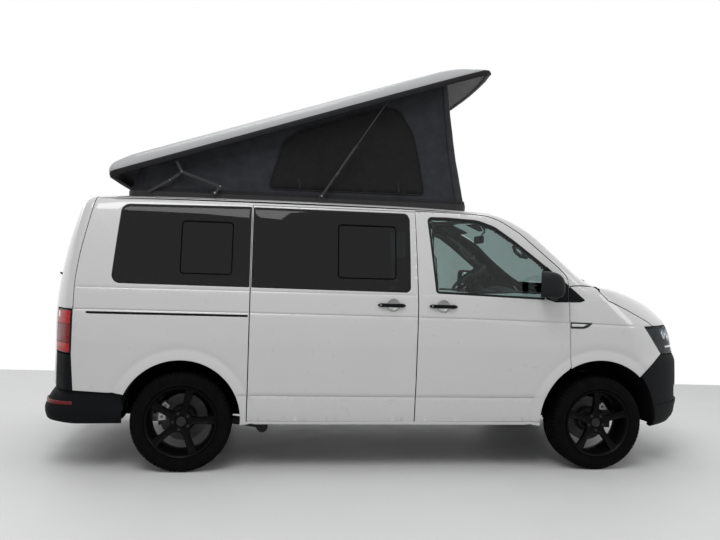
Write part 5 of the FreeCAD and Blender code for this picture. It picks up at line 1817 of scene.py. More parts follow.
# ----------------------------------------------------------------------------------------
# Lamps
# ----------------------------------------------------------------------------------------
def headlamps():
    top = nose_uv([(1910, 1057), (1990, 1057)])
    foot = nose_uv([(2090, 850)])
    shape = dense(top + [(-640, 1056), (-560, 1053), (-497, 1049), (-470, 905), (-466, 836),
                         (-560, 840)] + foot)
    shape = anticlockwise(shape)
    for name, side, flip in SIDES:
        panel(f"{name}_headlamp_lens", NOSE, grown(shape, -3), "van_body", ["lamp_glass"] * 2,
              "lamp_clear", ["headlights"] if side == RIGHT else [], thick=3, sink=1, pitch=18,
              mirror=flip)
        panel(f"{name}_headlamp_rim", NOSE, grown(shape, -1.5), "van_body", ["gloss_black"] * 2,
              "lamp_clear", holes=[grown(shape, -10)], thick=50, sink=4.5, pitch=20, mirror=flip)
        bowls = []
        for u, v, radius in ((-606.0, 982.0, 44), (-700.0, 994.0, 34)):
            spot = NOSE.place(np.array([(u, v)]))
            facing = normals_at(spot)[0]
            across = np.cross([0, 0, 1.0], facing)
            across /= np.linalg.norm(across)
            basis = np.column_stack([across, facing, np.cross(across, facing)])
            bowls.append((spot[0] - facing * 12, basis, radius))
        bores = [NOSE.flatten(np.array([spot + basis @ np.array([(radius + 3) * math.cos(t), 0,
                                                                 (radius + 3) * math.sin(t)])
                                        for t in even_turn(40)])) for spot, basis, radius in bowls]
        panel(f"{name}_headlamp_housing", NOSE, grown(shape, -3), "van_body",
              ["lamp_dark", "rough_plastic"], "lamp_clear", holes=bores, thick=8, sink=13,
              pitch=20,
              mirror=flip)
        panel(f"{name}_headlamp_back", NOSE, grown(shape, -6), "van_body", ["rough_plastic"] * 2,
              "lamp_clear", thick=5, sink=56, pitch=26, mirror=flip)
        for number, (spot, basis, radius) in enumerate(bowls):
            bowl = [(0, -34), (radius * 0.45, -31), (radius * 0.8, -20), (radius, 0),
                    (radius + 3, 2),
                    (radius + 4, -2), (radius * 0.84, -25), (radius * 0.45, -37), (0, -40)]
            bulb = [(0, -36), (5, -34), (7, -20), (8, -8), (6, -1), (0, 2)]
            hood = [(0, -30), (12, -30), (12, -26), (0, -26)]
            whole, all_faces, slots = joined([part(lathe(bowl, 40)), part(lathe(bulb, 20), 1),
                                              part(lathe(hood, 24), 2)])
            mesh_object(f"{name}_reflector_{number + 1}", moved(whole, spot, basis), all_faces,
                        ["chrome", "white_lens", "lamp_dark"], "van_body", "lamp_clear", [], slots,
                        mirror=flip)
        light_bar = rounded([(-722, 893, 4), (-728, 907, 4), (-496, 902, 4), (-494, 888, 4)])
        panel(f"{name}_running_light", NOSE, light_bar, "van_body", ["white_lens"] * 2,
              "lamp_clear",
              thick=26, sink=-0.5, pitch=24, edge=2, mirror=flip)
        turn_shape = rounded([(-560, 850, 5), (-600, 880, 5), (-500, 880, 5), (-486, 850, 5)])
        panel(f"{name}_front_indicator", NOSE, turn_shape, "van_body", ["amber"] * 2, "lamp_clear",
              thick=8, sink=36, pitch=24, mirror=flip)
        for number, (u, v) in enumerate(((-510, 1020), (-512, 985), (-514, 950), (-516, 925))):
            fin = rounded([(u - 26, v - 3), (u + 20, v - 3), (u + 20, v + 3), (u - 26, v + 3)])
            panel(f"{name}_headlamp_fin_{number + 1}", NOSE, fin, "van_body", ["lamp_dark"] * 2,
                  "lamp_clear", thick=18, sink=24, pitch=20, edge=1.5, mirror=flip)


LAMP_INNER = -660


def tail_uv(points):
    return [tuple(p) for p in TAIL.flatten(side_points(points))]


def tail_lamps():
    outer = tail_uv([(-2180, 806), (-2177, 1098)])
    low, high = outer
    whole = dense([(LAMP_INNER, 806), low, high, (LAMP_INNER, 1100)])
    trim = dense([(LAMP_INNER, 560), *tail_uv([(-2165, 560), (-2180, 797)]), (LAMP_INNER, 799)])

    def part_of(v0, v1, inner=5, outer_gap=9):
        at0, at1 = (low[0] + (high[0] - low[0]) * (v - 806) / 292 for v in (v0, v1))
        left = LAMP_INNER - inner
        return rounded([(left, v0, 5), (at0 + outer_gap, v0, 5), (at1 + outer_gap, v1, 5),
                        (left, v1, 5)])

    for name, side, flip in SIDES:
        panel(f"{name}_tail_lamp_housing", TAIL, whole, "van_body", ["lamp_rim", "rough_plastic"],
              "lamp_red", ["tail_lights"] if side == RIGHT else [], thick=44, sink=5, pitch=20,
              mirror=flip)
        upper = part_of(1002, 1090)
        patch = rounded([(-669, 1040, 4), (-700, 1040, 4), (-700, 1084, 4), (-669, 1084, 4)])
        panel(f"{name}_tail_lamp_upper", TAIL, upper, "van_body", ["lamp_red"] * 2, "lamp_red",
              holes=[patch], thick=6, sink=0, pitch=18, mirror=flip)
        panel(f"{name}_tail_lamp_patch", TAIL, grown(patch, -1), "van_body", ["white_lens"] * 2,
              "lamp_red", thick=5, sink=0, pitch=18, edge=1.5, mirror=flip)
        panel(f"{name}_tail_lamp_middle", TAIL, part_of(874, 1000), "van_body",
              ["lamp_dark_red"] * 2,
              "lamp_red", thick=6, sink=1.5, pitch=18, mirror=flip)
        panel(f"{name}_tail_lamp_lower", TAIL, part_of(814, 872), "van_body", ["lamp_red"] * 2,
              "lamp_red", thick=6, sink=0, pitch=18, mirror=flip)
        for number, v in enumerate(range(886, 995, 18)):
            rib = part_of(v, v + 3, 9, 14)
            panel(f"{name}_tail_lamp_rib_{number + 1}", TAIL, rib, "van_body",
                  ["lamp_dark_red"] * 2, "lamp_red", thick=3, sink=0.8, pitch=24, edge=0.8,
                  mirror=flip)
        panel(f"{name}_corner_trim_skin", TAIL, trim, "van_body",
              ["dark_plastic", "rough_plastic"],
              "dark_plastic", ["rear_corner_trims"] if side == RIGHT else [], thick=44, pitch=22,
              mirror=flip)


# ----------------------------------------------------------------------------------------
# Seals, window frames and black corners
# ----------------------------------------------------------------------------------------
def strip_ring(name, view, loop, wide, body, material, slot, flip, sink, thick=6.0, edge=1.6):
    panel(name, view, loop, body, [material] * 2, slot, holes=[grown(loop, -wide)], thick=thick,
          sink=sink, pitch=26, edge=edge, mirror=flip)


def window_trim():
    for name, _, flip in SIDES:
        for label, corners, pane in (("mid", MID_WINDOW, MID_PANE),
                                     ("rear", REAR_WINDOW, REAR_PANE)):
            strip_ring(f"{name}_{label}_window_seal", HOOP, grown(side_outline(corners), -0.5), 13,
                       "van_body", "seal_rubber", "privacy_glass", flip, 1.6)
            strip_ring(f"{name}_{label}_slider_frame", HOOP, side_outline(pane), 9, "van_body",
                       "slider_frame", "privacy_glass", flip, 0.6, 4.5)
        strip_ring(f"{name}_door_window_seal", HOOP, grown(side_outline(DOOR_WINDOW), -0.5), 15,
                   f"front_{name}_door",
                   "seal_rubber", "clear_glass", flip, 2.0, 12)
        corner = side_outline([p + (5,) for p in DOOR_CORNER])
        panel(f"{name}_mirror_base", HOOP, corner, f"front_{name}_door", ["dark_plastic"] * 2,
              "dark_plastic", thick=8, sink=-2.5, pitch=22, edge=2, mirror=flip)
        corner = side_outline([p + (7,) for p in FENDER_CORNER])
        panel(f"{name}_wing_corner", HOOP, corner, "van_body", ["dark_plastic"] * 2,
              "dark_plastic",
              thick=8, sink=-2.5, pitch=22, edge=2, mirror=flip)
        frame_loop = side_outline([(1301, 1086, 3), (1474, 1082, 3), (1432, 1050, 24),
                                         (1404, 1040, 14), (1301, 1040, 3)])
        panel(f"{name}_side_indicator", HOOP, frame_loop, "van_body", ["gloss_black"] * 2,
              "gloss_black",
              thick=14, sink=-2.5, pitch=20, edge=1.6, mirror=flip)
        lens = side_outline([(1308, 1074, 3), (1418, 1072, 3), (1400, 1056, 10), (1308, 1055, 3)])
        panel(f"{name}_side_indicator_lens", HOOP, lens, "van_body", ["white_lens"] * 2,
              "gloss_black",
              thick=3, sink=-4.2, pitch=20, edge=1.2, mirror=flip)


# ----------------------------------------------------------------------------------------
# Handles, rail and mirrors
# ----------------------------------------------------------------------------------------
def handle(name, ends, dish, body, flip):
    place = side_points([dish])[0]
    bowl = [(0, -26), (20, -24), (36, -15), (44, -3), (DISH_RADIUS - 1, -1), (DISH_RADIUS - 1, -6),
            (38, -20), (20, -29), (0, -31)]
    verts, faces = lathe(bowl, 40)
    solid(f"{name}_handle_dish", (moved(verts * [1, -1, 1], place), faces), "white_paint", body,
          "white_paint", mirror=flip)
    rings = []
    length = ends[1] - ends[0]
    for share in np.linspace(0, 1, 26):
        x = ends[0] + length * share
        near_end = min(share, 1 - share) * length
        swell = 1 - max(0, 1 - near_end / 26)**2
        tall, deep = 4 + 9.5 * swell, 3 + 6.5 * swell
        lift = 8 + 13 * float(ramp(near_end, 8, 55))
        base = side_points([(x, HANDLE_Z)])[0]
        ring = []
        for t in even_turn(18):
            c, s = math.cos(t), math.sin(t)
            ring.append((x, base[1] - lift + deep * math.copysign(abs(c)**0.7, c),
                         HANDLE_Z + tall * math.copysign(abs(s)**0.7, s)))
        rings.append(ring)
    parts = [part(loft(rings))]
    for x in (ends[0] + 22, ends[1] - 24):
        base = side_points([(x, HANDLE_Z)])[0]
        parts.append(part(soft_box((34, 22, 20), 6, base + np.array([0, -6, 0]), 2)))
    key = lathe([(0, 0), (9, 0), (9, 3), (7, 4.5), (0, 4.5)], 28)
    spot = side_points([(ends[0] + 22, HANDLE_Z)])[0] + np.array([0, -16, 0])
    parts.append(part(key, 1, spot, np.diag([1, -1, 1])))
    assembly(f"{name}_handle_grip", parts, ["dark_plastic", "bolt_steel"], body, "dark_plastic",
             mirror=flip)


def slide_rail():
    channel = grown(side_outline(SLOT_CORNERS), -0.6)
    panel("sliding_rail_channel", HOOP, channel, "van_body", ["rough_plastic"] * 2,
          "dark_plastic", thick=14, sink=24, pitch=26, edge=1.5)
    rail = side_outline([(-2080, 1077), (-2080, 1081), (-1030, 1079), (-1030, 1075)])
    panel("sliding_rail", HOOP, rail, "van_body", ["black_steel"] * 2, "dark_plastic", thick=10,
          sink=10, pitch=26, edge=1)


def door_mirror(name, flip):
    body = f"front_{name}_door"
    centre = np.array([1113.0, -1056.0, 1357.0])
    inward = turn_z(-22)
    steps = [(-76, 0.92), (-82, 0.98), (-78, 1.0), (-50, 1.0), (-12, 0.985), (24, 0.94),
             (50, 0.85),
             (68, 0.70), (80, 0.46), (84, 0.16)]

    def ring_at(x, scale):
        ring = []
        for t in even_turn(44):
            c, s = math.cos(t), math.sin(t)
            y = 85 * math.copysign(abs(c)**0.52, c)
            z = 94 * math.copysign(abs(s)**0.52, s)
            y = y * (1 + 0.05 * z / 94) + 3 * z / 94
            drop = 14 * (1 - scale) + 0.16 * max(x, 0)
            ring.append(centre + inward @ np.array([x, y * scale, z * scale - drop]))
        return ring

    recess = [(-62, 0.84), (-66, 0.86)]
    rings = [ring_at(x, scale) for x, scale in recess + steps]
    foot_rings = []
    for y, x0, x1, z0, z1 in ((-936, 1150, 1206, 1238, 1300), (-958, 1140, 1198, 1240, 1300),
                              (-985, 1112, 1176, 1256, 1306), (-1010, 1092, 1160, 1268, 1312)):
        foot_rings.append([(x0 + 8, y, z0), (x1 - 8, y, z0), (x1, y, z0 + 8), (x1, y, z1 - 8),
                           (x1 - 8, y, z1), (x0 + 8, y, z1), (x0, y, z1 - 8), (x0, y, z0 + 8)])
    lamp = soft_box((10, 60, 8), 4, centre + np.array([54, -8, -66]), 3)
    assembly(f"{name}_mirror_housing", [part(loft(rings)), part(loft(foot_rings)), part(lamp, 1)],
             ["mirror_plastic", "amber"], body, "dark_plastic", [f"{name}_mirror"], mirror=flip)
    pane = loft([ring_at(-64, 0.80), ring_at(-67, 0.82), ring_at(-70, 0.80)])
    solid(f"{name}_mirror_glass", pane, "mirror_glass", body, "dark_plastic", mirror=flip)


# ----------------------------------------------------------------------------------------
# Cowl, wipers and tailgate fittings
# ----------------------------------------------------------------------------------------
def on_top(points, lift):
    places = TOP.place(np.array(points, float))
    return places + normals_at(places) * lift


def wiper(name, pivot, tip, blade):
    """An arm from its pivot to its tip, and a blade that lies on the screen."""
    line = on_top(np.linspace(pivot, tip, 12), 12)
    line[:, 2] += 3 * np.sin(np.linspace(0, math.pi, 12))
    arm = tube(line, list(np.linspace(9, 5, 12)), 10)
    cap = lathe([(0, -16), (17, -16), (18, -4), (14, 4), (0, 6)], 28)
    blade_line = on_top(np.linspace(*blade, 26), 0)
    up = normals_at(blade_line)
    ahead = np.gradient(blade_line, axis=0)
    ahead /= np.linalg.norm(ahead, axis=1)[:, None]
    wide = np.cross(up, ahead)
    rings = []
    for k, (spot, n, w) in enumerate(zip(blade_line, up, wide)):
        taper = 0.55 + 0.45 * math.sin(math.pi * k / 25)**0.5
        rings.append([spot + n * h + w * o for h, o in
                      ((1, -1), (8, -2), (9, -9 * taper), (12, -9 * taper), (19 * taper, 0),
                       (12, 9 * taper), (9, 9 * taper), (8, 2), (1, 1))])
    assembly(name, [part(arm), part(cap, 0, line[0], turn_x(90)), part(loft(rings), 1)],
             ["black_steel", "rubber"], "van_body", "dark_plastic")


def cowl():
    front = [(1552, -800), (1586, -722), (1640, -602), (1708, -402), (1751, -202), (1762, 0)]
    front = front + [(x, -y) for x, y in front[-2::-1]]
    back = [(x + 5, y) for x, y in SCREEN_LOW]
    back = [(1520, 775)] + back[1:-1] + [(1520, -775)]
    outline = dense(front + back)
    vents = []
    for y in range(-420, 421, 60):
        mid = 1716 - 0.00022 * y * y - 8
        vents.append(rounded([(mid - 14, y - 22, 4), (mid - 14, y + 22, 4), (mid + 6, y + 22, 4),
                              (mid + 6, y - 22, 4)]))
    panel("cowl_cover", TOP, outline, "van_body", ["dark_plastic", "rough_plastic"],
          "dark_plastic",
          ["cowl_panel"], holes=vents, thick=14, sink=9, pitch=20)
    wiper("left_wiper", (1664, 360), (1500, 60), ((1622, 250), (1648, -330)))
    wiper("right_wiper", (1690, -110), (1572, -380), ((1652, -60), (1590, -520)))


def tail_fittings():
    plate = rounded([(-210, 905, 8), (-210, 1015, 8), (210, 1015, 8), (210, 905, 8)])
    panel("rear_plate_holder", TAIL, grown(plate, 9), "tailgate", ["rough_plastic"] * 2,
          "white_paint",
          thick=8, sink=-3, pitch=26)
    panel("rear_blank_plate", TAIL, plate, "tailgate", ["coach_light"] * 2, "white_paint", thick=3,
          sink=-6, pitch=26, edge=1.2)
    grip = rounded([(-290, 1040, 12), (-290, 1082, 14), (290, 1082, 14), (290, 1040, 12)])
    panel("tailgate_grip", TAIL, grip, "tailgate", ["dark_plastic"] * 2, "white_paint", thick=16,
          sink=-12, pitch=24)
    for number, u in enumerate((-150, 150)):
        lens = rounded([(u - 28, 1026, 4), (u - 28, 1036, 4), (u + 28, 1036, 4),
                        (u + 28, 1026, 4)])
        panel(f"plate_lamp_{number + 1}", TAIL, lens, "tailgate", ["white_lens"] * 2,
              "white_paint",
              thick=5, sink=-5, pitch=20, edge=1.2)
    strip_ring("tailgate_window_seal", REAR, grown(tail_opening(), -0.5), 20, "tailgate",
               "seal_rubber",
               "privacy_glass", False, 1.4, 6)
    brake = REAR.flatten(TAIL.place(np.array([(-170, 1812), (-170, 1834), (170, 1834),
                                              (170, 1812)])))
    brake = rounded([tuple(p) + (6,) for p in brake])
    panel("high_brake_lamp", REAR, brake, "tailgate", ["lamp_red"] * 2, "lamp_red", thick=16,
          sink=-5,
          pitch=24)
    line = TAIL.place(np.array([(u, 1262 + 0.10 * abs(u)) for u in np.linspace(0, -360, 14)]))
    lifted = line + normals_at(line) * 13
    arm = tube(lifted, list(np.linspace(10, 5, 14)), 10)
    cap = lathe([(0, -16), (20, -16), (21, -6), (15, 1), (0, 3)], 30)
    blade = TAIL.place(np.array([(u, 1280 + 0.10 * abs(u)) for u in np.linspace(-90, -520, 20)]))
    up = normals_at(blade)
    rings = [[spot + n * h + np.array([0, 0, o]) for h, o in
              ((3, -1), (9, -2), (11, -8), (18, -4), (20, 0), (18, 4), (11, 8), (9, 2), (3, 1))]
             for spot, n in zip(blade, up)]
    parts = [part(arm), part(cap, 0, lifted[0], np.diag([-1, 1, 1]) @ turn_z(-90)),
             part(loft(rings), 1)]
    assembly("rear_wiper", parts, ["black_steel", "rubber"], "tailgate", "dark_plastic")


front_bumper()
grille()
rear_bumper()
headlamps()
tail_lamps()
window_trim()
handle("sliding_door", SLIDER_HANDLE, SLIDER_DISH, "van_body", False)
handle("right_door", DOOR_HANDLE, DOOR_DISH, "front_right_door", False)
handle("left_door", DOOR_HANDLE, DOOR_DISH, "front_left_door", True)
slide_rail()
door_mirror("right", False)
door_mirror("left", True)
cowl()
tail_fittings()


# ----------------------------------------------------------------------------------------
# Cabin
# ----------------------------------------------------------------------------------------
CUSHIONS = []


def rounded_block(name, size_xyz, radius, centre, material, body, slot, replaces=(), bulge=0.0,
                  steps=3, turn=None):
    verts, faces = soft_box(size_xyz, radius, (0, 0, 0), steps, bulge)
    return solid(name, (moved(verts, centre, turn), faces), material, body, slot, replaces)


def cushion(name, size_xyz, centre, turn=None, radius=42, bulge=14, roll=None, replaces=(),
            material="seat_cloth"):
    """A padded block. roll(points) shapes it before it is turned and placed."""
    verts, faces = soft_box(size_xyz, radius, (0, 0, 0), 11, bulge)
    if roll:
        verts = roll(verts)
    obj = solid(name, (moved(verts, centre, turn), faces), material, "van_body", "seat_fabric",
                replaces)
    CUSHIONS.append(obj)
    return obj


def bolstered(axis, wide, height):
    """Raises the two side edges of a cushion along the given axis."""
    def shape(verts):
        verts = verts.copy()
        edge = ramp(np.abs(verts[:, 1]), wide * 0.5, wide * 0.86)
        face = ramp(verts[:, axis], -10, 30)
        verts[:, axis] += height * edge * face
        groove = bump(np.abs(verts[:, 1]) - wide * 0.58, 7)
        verts[:, axis] -= 9 * groove * face
        other = 0 if axis == 2 else 2
        for seam in (-90, 60):
            verts[:, axis] -= 5 * bump(verts[:, other] - seam, 8) * face * (1 - edge)
        return verts
    return shape


def front_seat(name, y, replaces):
    recline = turn_y(-12)
    cushion(f"{name}_seat_cushion", (480, 500, 132), (510, y, 762), roll=bolstered(2, 250, 20),
            replaces=replaces)
    back_centre = np.array([270, y, 800]) + recline @ np.array([-25, 0, 255])
    cushion(f"{name}_seat_back", (124, 462, 590), back_centre, recline, roll=bolstered(0, 231, 24))
    cushion(f"{name}_headrest", (96, 258, 172), (141, y, 1433), recline, radius=38, bulge=8)
    for number, shift in enumerate((-60, 60)):
        solid(f"{name}_headrest_post_{number + 1}",
              tube([(166, y + shift, 1330), (150, y + shift, 1400)], 6), "bright_steel",
              "van_body",
              "seat_fabric")
    rounded_block(f"{name}_seat_base", (400, 380, 252), 18, (490, y, 558), "cabin_trim",
                  "van_body",
                  "seat_fabric")
    shield = soft_box((420, 26, 110), 10, (480, y + math.copysign(240, y), 722), 3)
    lever = tube([(620, y - 250, 720), (665, y - 256, 715), (700, y - 256, 716)], [8, 8, 6], 10)
    assembly(f"{name}_seat_side_shield", [part(shield), part(lever)], "cabin_trim", "van_body",
             "seat_fabric")
    for number, shift in enumerate((-150, 150)):
        rounded_block(f"{name}_seat_runner_{number + 1}", (470, 34, 18), 5, (490, y + shift, 441),
                      "black_steel", "van_body", "seat_fabric")
    rest = soft_box((300, 52, 44), 18, (360, y - math.copysign(232, y), 985), 4)
    solid(f"{name}_armrest", rest, "seat_side", "van_body", "seat_fabric")


def rear_bench():
    cushion("bench_cushion", (536, 676, 136), (-990, -220, 764), roll=bolstered(2, 338, 8),
            replaces=["rear_bench"])
    cushion("bench_back", (134, 676, 600), (-1331, -220, 1035), turn_y(-3),
            roll=bolstered(0, 338, 10))
    rounded_block("bench_base", (520, 664, 262), 8, (-990, -220, 563), "cabinet_front", "van_body",
                  "seat_fabric")
    knob, knob_faces = lathe([(0, 0), (14, 0), (15, 6), (12, 10), (0, 11)], 28)
    for number, y in enumerate((-390, -50)):
        solid(f"bench_drawer_{number + 1}", soft_box((6, 300, 200), 3, (-727, y, 555), 2),
              "cabinet_front", "van_body", "cabinet_wood")
        solid(f"bench_knob_{number + 1}", (moved(knob, (-724, y, 620), turn_z(-90)), knob_faces),
              "bright_steel", "van_body", "cabinet_wood")
    for number, y in enumerate((-390, -50)):
        cushion(f"bench_headrest_{number + 1}", (80, 230, 150), (-1352, y, 1405), radius=32,
                bulge=6,
                material="seat_side")


def settle_cushions():
    """Lets the covers swell a little under pressure, by a short cloth simulation."""
    scene = bpy.context.scene
    starts = {}
    for obj in CUSHIONS:
        mesh = obj.data
        count = len(mesh.vertices)
        start = np.empty(count * 3)
        mesh.vertices.foreach_get("co", start)
        starts[obj.name] = start.reshape(-1, 3)
        low, high = starts[obj.name].min(0), starts[obj.name].max(0)
        group = obj.vertex_groups.new(name="sewn")
        away = np.minimum(starts[obj.name] - low, high - starts[obj.name])
        edge = np.sort(away, axis=1)[:, 1] < 0.016
        group.add([int(i) for i in np.nonzero(edge)[0]], 1.0, "REPLACE")
        cloth = obj.modifiers.new("cover", "CLOTH")
        cloth.settings.use_pressure = True
        cloth.settings.uniform_pressure_force = 4.0
        cloth.settings.effector_weights.gravity = 0.0
        cloth.settings.vertex_group_mass = "sewn"
        cloth.settings.quality = 4
        cloth.settings.tension_stiffness = cloth.settings.compression_stiffness = 30
        cloth.collision_settings.use_collision = False
        cloth.point_cache.frame_start, cloth.point_cache.frame_end = 1, 20
    for step in range(1, 21):
        scene.frame_set(step)
    depsgraph = bpy.context.evaluated_depsgraph_get()
    for obj in CUSHIONS:
        settled = obj.evaluated_get(depsgraph).to_mesh()
        after = np.empty(len(settled.vertices) * 3)
        settled.vertices.foreach_get("co", after)
        shift = after.reshape(-1, 3) - starts[obj.name]
        length = np.linalg.norm(shift, axis=1)[:, None]
        shift *= np.minimum(1, 0.022 / np.maximum(length, 1e-9))
        obj.evaluated_get(depsgraph).to_mesh_clear()
        obj.modifiers.clear()
        obj.vertex_groups.clear()
        obj.data.vertices.foreach_set("co", (starts[obj.name] + shift).ravel())
        obj.data.update()
    scene.frame_set(1)


def across_loft(name, profile_at, ys, materials, slot, replaces=()):
    """A solid whose side-view profile changes across the van."""
    rings = [[(x, y, z) for x, z in profile_at(y)] for y in ys]
    sharpen(solid(name, loft(rings), materials, "van_body", slot, replaces), 50)


DASH_PROFILE = [(1262, 600), (1200, 640), (1172, 760), (1158, 900), (1130, 1010), (1118, 1100),
                (1112, 1180), (1118, 1215), (1136, 1248), (1166, 1266), (1240, 1276), (1330, 1280),
                (1420, 1276), (1490, 1262), (1530, 1240), (1500, 1222), (1300, 1216), (1262, 1210)]
HOOD_Y = 400


def dash_profile(y):
    hood = float(1 - ramp(abs(y - HOOD_Y), 120, 215))
    knee = float(1 - ramp(abs(y), 110, 190))
    points = []
    for x, z in DASH_PROFILE:
        if z > 1205 and x < 1300:
            z += 34 * hood
            x -= 16 * hood * (z > 1230)
        if z < 1100:
            x -= 34 * knee
        curve = 60 * (abs(y) / 780)**2
        points.append((min(x, 1262) - curve * 0.2 if x < 1262 else x - curve, z))
    return points


def dashboard():
    across_loft("dashboard_moulding", dash_profile, np.linspace(-745, 745, 90), "cabin_trim",
                "cabin_trim", ["dashboard"])
    for number, y in enumerate((-660, -110, 110, 660)):
        parts = [part(soft_box((14, 112, 66), 10, (1110, y, 1168), 3))]
        parts += [part(soft_box((8, 98, 3), 1.2, (1102, y, 1148 + 10 * k), 1), 1)
                  for k in range(5)]
        assembly(f"dash_vent_{number + 1}", parts, ["gloss_black", "cabin_trim"], "van_body",
                 "cabin_trim")
    parts = [part(soft_box((16, 196, 116), 8, (1104, 0, 1066), 3)),
             part(soft_box((3, 172, 92), 3, (1095, 0, 1068), 2), 1),
             part(soft_box((16, 208, 58), 8, (1122, 0, 968), 3))]
    knob = lathe([(0, 0), (19, 0), (18, 16), (14, 19), (0, 20)], 28)
    parts += [part(knob, 0, (1112, y, 968), turn_z(90)) for y in (-66, 0, 66)]
    assembly("dash_centre", parts, ["cabin_trim", "gloss_black"], "van_body", "cabin_trim")
    glovebox = soft_box((14, 380, 190), 12, (1132, -420, 1010), 4, 3)
    pull = soft_box((12, 90, 20), 5, (1124, -420, 1084), 2)
    assembly("glovebox_lid", [part(glovebox), part(pull, 1)], ["cabin_trim", "gloss_black"],
             "van_body", "cabin_trim")
    dial = lathe([(0, 0), (40, 0), (42, 5), (38, 7), (36, 4), (0, 4)], 36)
    parts = [part(soft_box((18, 270, 96), 12, (1116, HOOD_Y, 1226), 4))]
    parts += [part(dial, 1, (1108, y, 1228), turn_z(90)) for y in (HOOD_Y - 74, HOOD_Y + 74)]
    assembly("instrument_cluster", parts, ["gloss_black", "lamp_dark"], "van_body", "cabin_trim")
    plinth = soft_box((130, 150, 90), 22, (1130, 30, 862), 4)
    boot = lathe([(0, 0), (52, 0), (48, 10), (34, 34), (16, 58), (9, 66), (0, 66)], 32)
    stick = tube([(1088, 30, 920), (1066, 30, 980), (1050, 30, 1012)], [7, 7, 8])
    knob = lathe([(0, -30), (16, -26), (22, -6), (23, 10), (18, 22), (0, 27)], 28)
    assembly("gear_lever", [part(plinth), part(boot, 1, (1088, 30, 868), turn_x(90)),
                            part(stick, 2),
                            part(knob, 0, (1044, 30, 1030), turn_x(90))],
             ["cabin_trim", "seat_side", "bolt_steel"], "van_body", "cabin_trim")


WHEEL_CENTRE = np.array([917.0, 400.0, 1377.0])


def steering_wheel():
    lean = turn_y(-40)
    rim = []
    for t in even_turn(96):
        c, s = math.cos(t), math.sin(t)
        thick = 14 - 1.5 * math.cos(2 * t)
        ring = [((176 + thick * math.cos(a)) * c, (176 + thick * math.cos(a)) * s,
                 thick * 1.05 * math.sin(a)) for a in even_turn(16)]
        rim.append(ring)
    parts = [part((np.concatenate(rim), ring_faces(96, 16))),
             part(soft_box((124, 136, 46), 20, (0, 0, -6), 6, 5), 1)]
    for angle, wide in ((0, 30), (180, 30), (-90, 44)):
        rings = []
        for r, w, z, t in ((48, wide, -10, 12), (90, wide * 0.8, -12, 10),
                           (135, wide * 0.62, -7, 9),
                           (170, wide * 0.7, 0, 8)):
            rings.append([(r, -w, z - t / 2), (r, w, z - t / 2), (r, w * 1.02, z),
                          (r, w * 0.9, z + t / 2),
                          (r, -w * 0.9, z + t / 2), (r, -w * 1.02, z)])
        parts.append(part(loft(rings), 1, turn=turn_z(angle + 90)))
        if angle != -90:
            pad = soft_box((36, 26, 6), 3, (96, 0, -2), 2)
            parts.append(part(pad, 2, turn=turn_z(angle + 90)))
    boss = lathe([(0, -44), (44, -44), (52, -30), (50, -14), (0, -14)], 40)
    parts.append(part(boss, 1, turn=turn_x(90)))
    verts, faces, slots = joined(parts)
    verts = moved(verts, WHEEL_CENTRE, lean)
    obj = mesh_object("steering_wheel_detail", verts, faces,
                      ["wheel_leather", "cabin_trim", "gloss_black"],
                      "steering_wheel", "cabin_trim", ["steering_wheel"], slots)
    sharpen(obj, 45)
    axis = lean @ np.array([0, 0, 1.0])
    shroud_rings = []
    for reach, radius in ((-52, 30), (-58, 46), (-130, 54), (-220, 58), (-300, 60)):
        middle = WHEEL_CENTRE + axis * reach
        shroud_rings.append([middle + lean @ np.array([radius * math.cos(t), radius * math.sin(t),
                                                       0])
                             for t in even_turn(28)])
    parts = [part(loft(shroud_rings))]
    for sign in (-1, 1):
        start = WHEEL_CENTRE + axis * -80 + np.array([0, sign * 48, 0])
        stalk = [start + np.array(reach) for reach in
                 ((0, 0, 0), (-14, sign * 60, 22), (-24, sign * 118, 34))]
        parts.append(part(tube(stalk, [8, 7, 9])))
    assembly("steering_column_shroud", parts, "cabin_trim", "van_body", "cabin_trim")


def kitchen():
    rounded_block("cabinet_carcass", (1796, 340, 770), 4, (-1050, 596, 817), "cabinet_front",
                  "van_body",
                  "cabinet_wood", ["kitchen_cabinet"])
    rounded_block("cabinet_worktop", (1812, 372, 26), 9, (-1050, 606, 1226), "worktop", "van_body",
                  "cabinet_wood")
    for number, (x, wide) in enumerate(((-330, 330), (-690, 360), (-1070, 370), (-1450, 360),
                                        (-1790, 290))):
        door = soft_box((wide, 12, 660), 4, (x, 421, 850), 2)
        knob = lathe([(0, 0), (15, 0), (16, 5), (12, 9), (6, 8), (0, 9)], 28)
        place = (x + wide / 2 - 42, 415, 1120)
        assembly(f"cabinet_door_{number + 1}", [part(door),
                                                part(knob, 1, place, np.diag([1, -1, 1]))],
                 ["cabinet_front", "bright_steel"], "van_body", "cabinet_wood")
    parts = [part(soft_box((460, 290, 10), 4, (-420, 606, 1243), 2))]
    burner = lathe([(0, 0), (34, 0), (34, 9), (26, 12), (0, 12)], 30)
    grate = soft_box((150, 6, 6), 2, (0, 0, 14), 1)
    for x in (-520, -320):
        parts.append(part(burner, 1, (x, 606, 1248), turn_x(90)))
        parts += [part(grate, 1, (x, 606, 1252), turn_z(angle)) for angle in (45, 135)]
    assembly("cooker_hob", parts, ["bright_steel", "black_steel"], "van_body", "cabinet_wood")
    bowl = lathe([(0, -8), (118, -8), (130, -4), (134, 6), (140, 7), (142, 3), (136, -10),
                  (0, -12)], 44)
    tap = tube([(-880, 735, 1240), (-880, 735, 1370), (-880, 720, 1400), (-880, 680, 1408),
                (-880, 650, 1396)], [11, 9, 9, 9, 8], 14)
    assembly("sink_and_tap", [part(bowl, 0, (-880, 600, 1243), turn_x(90)), part(tap)],
             "bright_steel", "van_body", "cabinet_wood")


